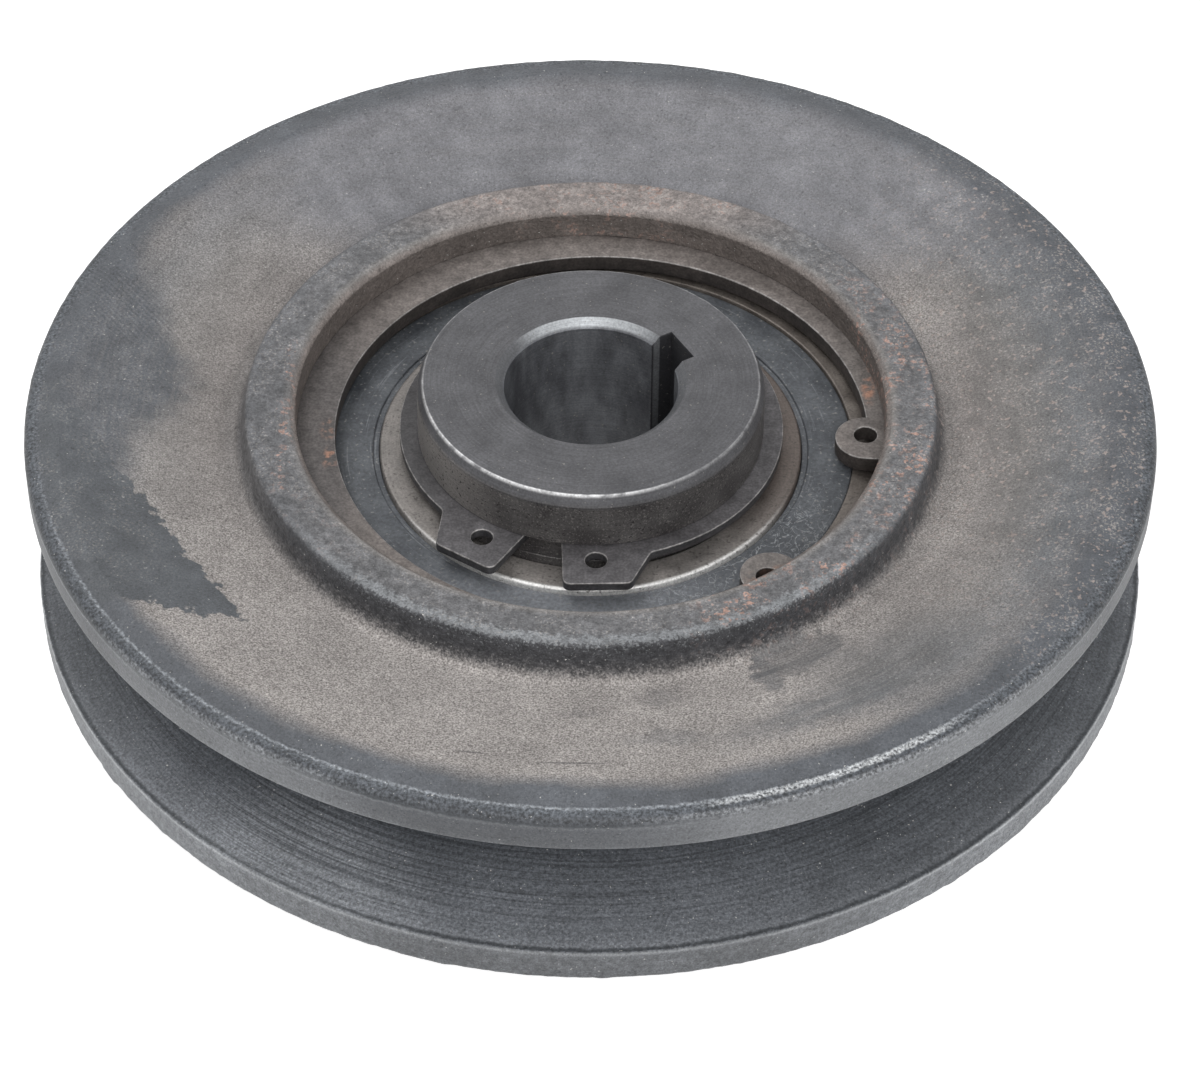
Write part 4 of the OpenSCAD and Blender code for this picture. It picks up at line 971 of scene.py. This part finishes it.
def makeHub():
    h = hubSize
    piece = turnedPiece("keyedHub", hubCorners(), makeHubSteel(), segments=h["segments"], surface=h, chips=hubChips)
    reach = h["boreRadius"] + h["keyDepth"]
    slot = bmesh.new()
    bmesh.ops.create_cube(slot, size=1.0)
    place = Matrix.Rotation(math.radians(h["keyAngle"]), 4, "Z")
    place @= Matrix.Translation(Vector((reach / 2, 0, h["top"] / 2)) * mm)
    bmesh.ops.transform(slot, matrix=place @ Matrix.Diagonal((reach * mm, h["keyWidth"] * mm, 2 * h["top"] * mm, 1)),
                        verts=slot.verts)
    cutterMesh = bpy.data.meshes.new("keySlot")
    slot.to_mesh(cutterMesh)
    slot.free()
    cutter = bpy.data.objects.new("keySlot", cutterMesh)
    bpy.context.scene.collection.objects.link(cutter)
    cut = piece.modifiers.new("keyway", "BOOLEAN")
    cut.object = cutter
    cut.operation = "DIFFERENCE"
    cut.solver = "EXACT"
    ready = piece.evaluated_get(bpy.context.evaluated_depsgraph_get())
    result = bpy.data.meshes.new_from_object(ready)
    bpy.data.objects.remove(cutter)
    bpy.data.objects.remove(piece)
    dress(placeMesh("keyedHub", result), "hub", "hub")


makeHub()
print("hub made")


# Ball bearing: the two rings and the seals that show, on their own bodies

bearingSize = {
    "top": 19.8, "bottom": 4.8, "boreRadius": 20.02, "outerRadius": 33.98, "innerRingRadius": 24.52,
    "chamfer": 0.9, "edgeRound": 0.35, "pitchRadius": 27.0, "ballRadius": 3.969, "raceOpen": 1.04, "raceGap": 0.02,
    "outerRingShoulder": 29.38, "sealMouth": 30.58, "sealBead": 0.45, "beadHeight": 0.7,
    "sealRecess": 0.35, "sealThickness": 1.2, "sealLip": 24.58, "lipWidth": 0.7, "lipStep": 0.3, "raceSteps": 12,
}


# Corners of a raceway that dips into a ring: from the lower shoulder to the upper, side is +1 on the outer ring
def raceway(side):
    b = bearingSize
    middle = (b["top"] + b["bottom"]) / 2
    radius = b["ballRadius"] * b["raceOpen"]
    centre = b["pitchRadius"] + side * (b["ballRadius"] + b["raceGap"] - radius)
    shoulder = b["outerRingShoulder"] if side > 0 else b["innerRingRadius"]
    reach = math.acos(abs(shoulder - centre) / radius)
    steps = b["raceSteps"]
    angles = [reach * (2 * k / steps - 1) for k in range(steps + 1)]
    return [(centre + side * radius * math.cos(a), middle + radius * math.sin(a), 0) for a in angles]


def makeBearing():
    b = bearingSize
    ringSteel, sealRubber = makeRingSteel(), makeSealRubber()
    lowChamfer, highChamfer = b["bottom"] + b["chamfer"], b["top"] - b["chamfer"]
    inner = [
        (b["boreRadius"] + b["chamfer"], b["bottom"], 0),
        (b["innerRingRadius"], b["bottom"], b["edgeRound"]),
        *raceway(-1),
        (b["innerRingRadius"], b["top"], b["edgeRound"]),
        (b["boreRadius"] + b["chamfer"], b["top"], 0.2),
        (b["boreRadius"], highChamfer, 0),
        (b["boreRadius"], lowChamfer, 0),
    ]
    dress(turnedPiece("innerRing", inner, ringSteel), "inner_ring", "hub")

    mouthDepth = b["sealRecess"] + b["sealThickness"]
    beadRadius = b["sealMouth"] + b["sealBead"]
    upper = [
        (b["outerRingShoulder"], b["top"] - mouthDepth, 0),
        (beadRadius, b["top"] - mouthDepth, 0),
        (beadRadius, b["top"] - mouthDepth + b["beadHeight"], 0),
        (b["sealMouth"], b["top"] - mouthDepth + b["beadHeight"], 0),
        (b["sealMouth"], b["top"], 0.2),
        (b["outerRadius"] - b["chamfer"], b["top"], 0.2),
        (b["outerRadius"], highChamfer, 0),
    ]
    lower = [(r, b["top"] + b["bottom"] - z, c) for r, z, c in reversed(upper)]
    outer = lower + raceway(1) + upper
    dress(turnedPiece("outerRing", outer, ringSteel), "outer_ring", "sheave")

    face = b["top"] - b["sealRecess"]
    low = face - b["sealThickness"] + 0.02
    seal = [
        (b["sealLip"], low, 0),
        (beadRadius - 0.02, low, 0),
        (beadRadius - 0.02, low + b["beadHeight"] - 0.04, 0),
        (b["sealMouth"] - 0.02, low + b["beadHeight"] - 0.04, 0),
        (b["sealMouth"] - 0.02, face, 0.3),
        (b["sealLip"] + b["lipWidth"], face, 0.2),
        (b["sealLip"] + b["lipWidth"], face - b["lipStep"], 0.1),
        (b["sealLip"], face - b["lipStep"], 0.15),
    ]
    dress(turnedPiece("upperSeal", seal, sealRubber), "upper_seal", "sheave")
    flipped = [(r, b["top"] + b["bottom"] - z, c) for r, z, c in reversed(seal)]
    dress(turnedPiece("lowerSeal", flipped, sealRubber), "lower_seal", "sheave")


makeBearing()
print("bearing made")


# Circlips: stamped spring steel plates, outlined in mm with the gap at +X and then turned into place

boreClipSize = {
    "bottom": 20.6, "thickness": 2.1, "outerRadius": 35.48, "innerRadius": 30.8, "offset": 1.4, "gapAngle": 333.0,
    "earAngle": 24.4, "earRadius": 3.5, "earShift": 0.5, "holeReach": 31.8, "holeRadius": 1.35, "edge": 0.15,
}
hubClipSize = {
    "bottom": 21.25, "thickness": 1.2, "innerRadius": 18.77, "band": 3.45, "offset": 0.3, "gapAngle": 254.4,
    "lugAngle": 17.4, "lugReach": 26.0, "lugWidth": 7.6, "lugRound": 0.9, "flare": 26.0, "footFillet": 1.0,
    "holeReach": 22.3, "holeRadius": 1.25, "edge": 0.14,
}


def polar(radius, angle):
    return Vector((radius * math.cos(angle), radius * math.sin(angle)))


# Points on a circle from one angle to another, in steps of about 0.4 mm
def arcPoints(centre, radius, start, end):
    steps = max(2, round(abs(end - start) * radius / 0.4))
    return [centre + polar(radius, start + (end - start) * k / steps) for k in range(steps + 1)]


def mirroredAcross(points):
    return [Vector((p.x, -p.y)) for p in reversed(points)]


# A plate from closed outlines; the first is the rim and the rest are holes
def stampedPlate(name, outlines, size, material):
    data = bpy.data.curves.new(name, "CURVE")
    data.dimensions = "2D"
    data.fill_mode = "BOTH"
    data.extrude = (size["thickness"] / 2 - size["edge"]) * mm
    data.bevel_depth = size["edge"] * mm
    data.bevel_resolution = 2
    data.offset = -size["edge"] * mm
    for outline in outlines:
        spline = data.splines.new("POLY")
        spline.points.add(len(outline) - 1)
        for point, p in zip(spline.points, outline):
            point.co = (p.x * mm, p.y * mm, 0, 1)
        spline.use_cyclic_u = True
    shape = bpy.data.objects.new(name + "Outline", data)
    bpy.context.scene.collection.objects.link(shape)
    mesh = bpy.data.meshes.new_from_object(shape.evaluated_get(bpy.context.evaluated_depsgraph_get()))
    bpy.data.objects.remove(shape)
    place = Matrix.Translation((0, 0, (size["bottom"] + size["thickness"] / 2) * mm))
    mesh.transform(place @ Matrix.Rotation(math.radians(size["gapAngle"]), 4, "Z"))
    mesh.name = name
    mesh.materials.clear()
    mesh.materials.append(material)
    piece = placeMesh(name, mesh)
    mesh.shade_smooth()
    mesh.set_sharp_from_angle(angle=math.radians(35))
    return piece


def makeBoreClip():
    c = boreClipSize
    tilt = math.radians(c["earAngle"])
    ear = polar(c["holeReach"], tilt) + polar(c["earShift"], tilt - math.pi / 2)
    inside = Vector((c["offset"], 0))
    # Where the inside circle meets the ear's round end, on the side away from the gap
    apart = ear - inside
    along = (c["innerRadius"] ** 2 - c["earRadius"] ** 2 + apart.length_squared) / (2 * apart.length)
    across = math.sqrt(c["innerRadius"] ** 2 - along ** 2)
    unit = apart.normalized()
    meet = inside + unit * along + Vector((-unit.y, unit.x)) * across
    # The ear's end runs straight out from its round to the outer circle
    side = ear + polar(c["earRadius"], tilt - math.pi / 2)
    run = side.dot(polar(1, tilt))
    tip = side + polar(math.sqrt(c["outerRadius"] ** 2 - side.length_squared + run ** 2) - run, tilt)
    half = arcPoints(inside, c["innerRadius"], math.pi, math.atan2(*(meet - inside).yx))
    half += arcPoints(ear, c["earRadius"], math.atan2(*(meet - ear).yx) % (2 * math.pi), tilt + 1.5 * math.pi)
    half += arcPoints(Vector((0, 0)), c["outerRadius"], math.atan2(tip.y, tip.x), math.pi)
    rim = half + mirroredAcross(half[1:-1])
    holes = [arcPoints(polar(c["holeReach"], s * tilt), c["holeRadius"], 0, 2 * math.pi)[:-1] for s in (-1, 1)]
    steel = makeClipSteel("springSteelPhosphatedDusty", c["bottom"] + c["thickness"], ("#3a3634", "#4c4643"),
                          ("#6a6461", "#827b77"), clipLook["tones"], clipLook["rustSpots"])
    piece = stampedPlate("boreCirclip", [rim] + holes, c, steel)
    dress(piece, "bore_circlip", "sheave")


def makeHubClip():
    c = hubClipSize
    tilt = math.radians(c["lugAngle"])
    halfWidth = c["lugWidth"] / 2
    out, away = polar(1, tilt), polar(1, tilt + math.pi / 2)
    ringCentre = Vector((-c["offset"], 0))
    ringRadius = c["innerRadius"] + c["band"]
    start = out * math.sqrt(c["innerRadius"] ** 2 - halfWidth ** 2) - away * halfWidth
    nearCorner = out * c["lugReach"] - away * halfWidth
    farCorner = out * c["lugReach"] + away * halfWidth
    # The sloping side runs down to the ring and joins it with a small fillet
    slope = (away * math.tan(math.radians(c["flare"])) - out).normalized()
    offset = farCorner - ringCentre
    drop = -offset.dot(slope) - math.sqrt(offset.dot(slope) ** 2 - offset.length_squared + ringRadius ** 2)
    foot = farCorner + slope * drop
    footAngle = math.atan2(*(foot - ringCentre).yx)
    fillet = roundCorner(farCorner, foot, foot + polar(1, footAngle + math.pi / 2), c["footFillet"])
    ringStart = math.atan2(*(fillet[-1] - ringCentre).yx)
    half = [start] + roundCorner(start, nearCorner, farCorner, c["lugRound"])
    half += roundCorner(nearCorner, farCorner, foot, c["lugRound"]) + fillet
    half += arcPoints(ringCentre, ringRadius, ringStart, math.pi)[1:]
    startAngle = math.atan2(start.y, start.x)
    bore = arcPoints(Vector((0, 0)), c["innerRadius"], -startAngle, startAngle - 2 * math.pi)
    rim = half + mirroredAcross(half[:-1]) + bore[1:-1]
    holes = [arcPoints(polar(c["holeReach"], s * tilt), c["holeRadius"], 0, 2 * math.pi)[:-1] for s in (-1, 1)]
    steel = makeClipSteel("springSteelPhosphated", c["bottom"] + c["thickness"], ("#3c3b3d", "#4b4a4c"),
                          ("#4f4d4f", "#626062"), clipLook["hubTones"])
    piece = stampedPlate("shaftCirclip", [rim] + holes, c, steel)
    dress(piece, "shaft_circlip", "hub")


makeBoreClip()
makeHubClip()
print("circlips made")


# Cage, rivets and balls keep their CAD shapes and take on their finishes
def finishHidden():
    cageSteel, ballSteel = makeCageSteel(), makeBallSteel()
    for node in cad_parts:
        steel = cageSteel if node.startswith("cage") else ballSteel if node.startswith("ball") else None
        if steel:
            for slot in bpy.data.objects[node].material_slots:
                slot.material = steel


finishHidden()
print("cage and balls finished")


# Floor and light: plain white, as in a studio

stageSize = {"floor": 6.0, "keyPower": 4.4, "fillPower": 2.4, "frontPower": 8.2, "worldLight": 0.38, "paperGlow": 0.76}


# 1 for what the camera sees, also in metal and through glass
def shownRays(tree):
    ray = addNode(tree, "ShaderNodeLightPath", out=None).outputs
    shown = addNode(tree, "ShaderNodeMath", {0: ray["Is Camera Ray"], 1: ray["Is Glossy Ray"]}, operation="MAXIMUM")
    return addNode(tree, "ShaderNodeMath", {0: shown, 1: ray["Is Transmission Ray"]}, operation="MAXIMUM")


# White to the camera and in reflections, plain pale to everything else, so the shadow stays
def makeStage():
    size = stageSize["floor"]
    mesh = bpy.data.meshes.new("floor")
    mesh.from_pydata([(-size, -size, 0), (size, -size, 0), (size, size, 0), (-size, size, 0)], [], [(0, 1, 2, 3)])
    floor = bpy.data.objects.new("floor", mesh)
    bpy.context.scene.collection.objects.link(floor)
    floor.location.z = -0.0002
    material = bpy.data.materials.new("paperSweep")
    material.use_nodes = True
    tree = material.node_tree
    paper = tree.nodes["Principled BSDF"]
    paper.inputs["Base Color"].default_value = srgb("#d0d0d0")
    paper.inputs["Roughness"].default_value = 0.9
    paper.inputs["Specular IOR Level"].default_value = 0.1
    paper.inputs["Emission Color"].default_value = (1, 1, 1, 1)
    glow = addNode(tree, "ShaderNodeMath", {0: shownRays(tree), 1: stageSize["paperGlow"]}, operation="MULTIPLY")
    tree.links.new(glow, paper.inputs["Emission Strength"])
    mesh.materials.append(material)

    world = bpy.data.worlds.new("studio")
    bpy.context.scene.world = world
    world.use_nodes = True
    air = world.node_tree
    strength = addNode(air, "ShaderNodeMapRange", {"Value": shownRays(air), 3: stageSize["worldLight"], 4: 1.0})
    back = air.nodes["Background"]
    back.inputs["Color"].default_value = (1, 1, 1, 1)
    air.links.new(strength, back.inputs["Strength"])

    for name, power, size, place in (("keyLight", stageSize["keyPower"], 0.6, (-0.5, 0.3, 1.1)),
                                     ("fillLight", stageSize["fillPower"], 0.9, (0.9, -0.6, 0.8)),
                                     ("frontLight", stageSize["frontPower"], 0.6, (0.05, -1.0, 0.95))):
        data = bpy.data.lights.new(name, "AREA")
        data.energy = power
        data.size = size
        lamp = bpy.data.objects.new(name, data)
        bpy.context.scene.collection.objects.link(lamp)
        lamp.location = place
        lamp.rotation_euler = (Vector((0, 0, 0)) - Vector(place)).to_track_quat("-Z", "Y").to_euler()


makeStage()
bpy.context.scene.view_settings.view_transform = "Standard"
print("stage made")
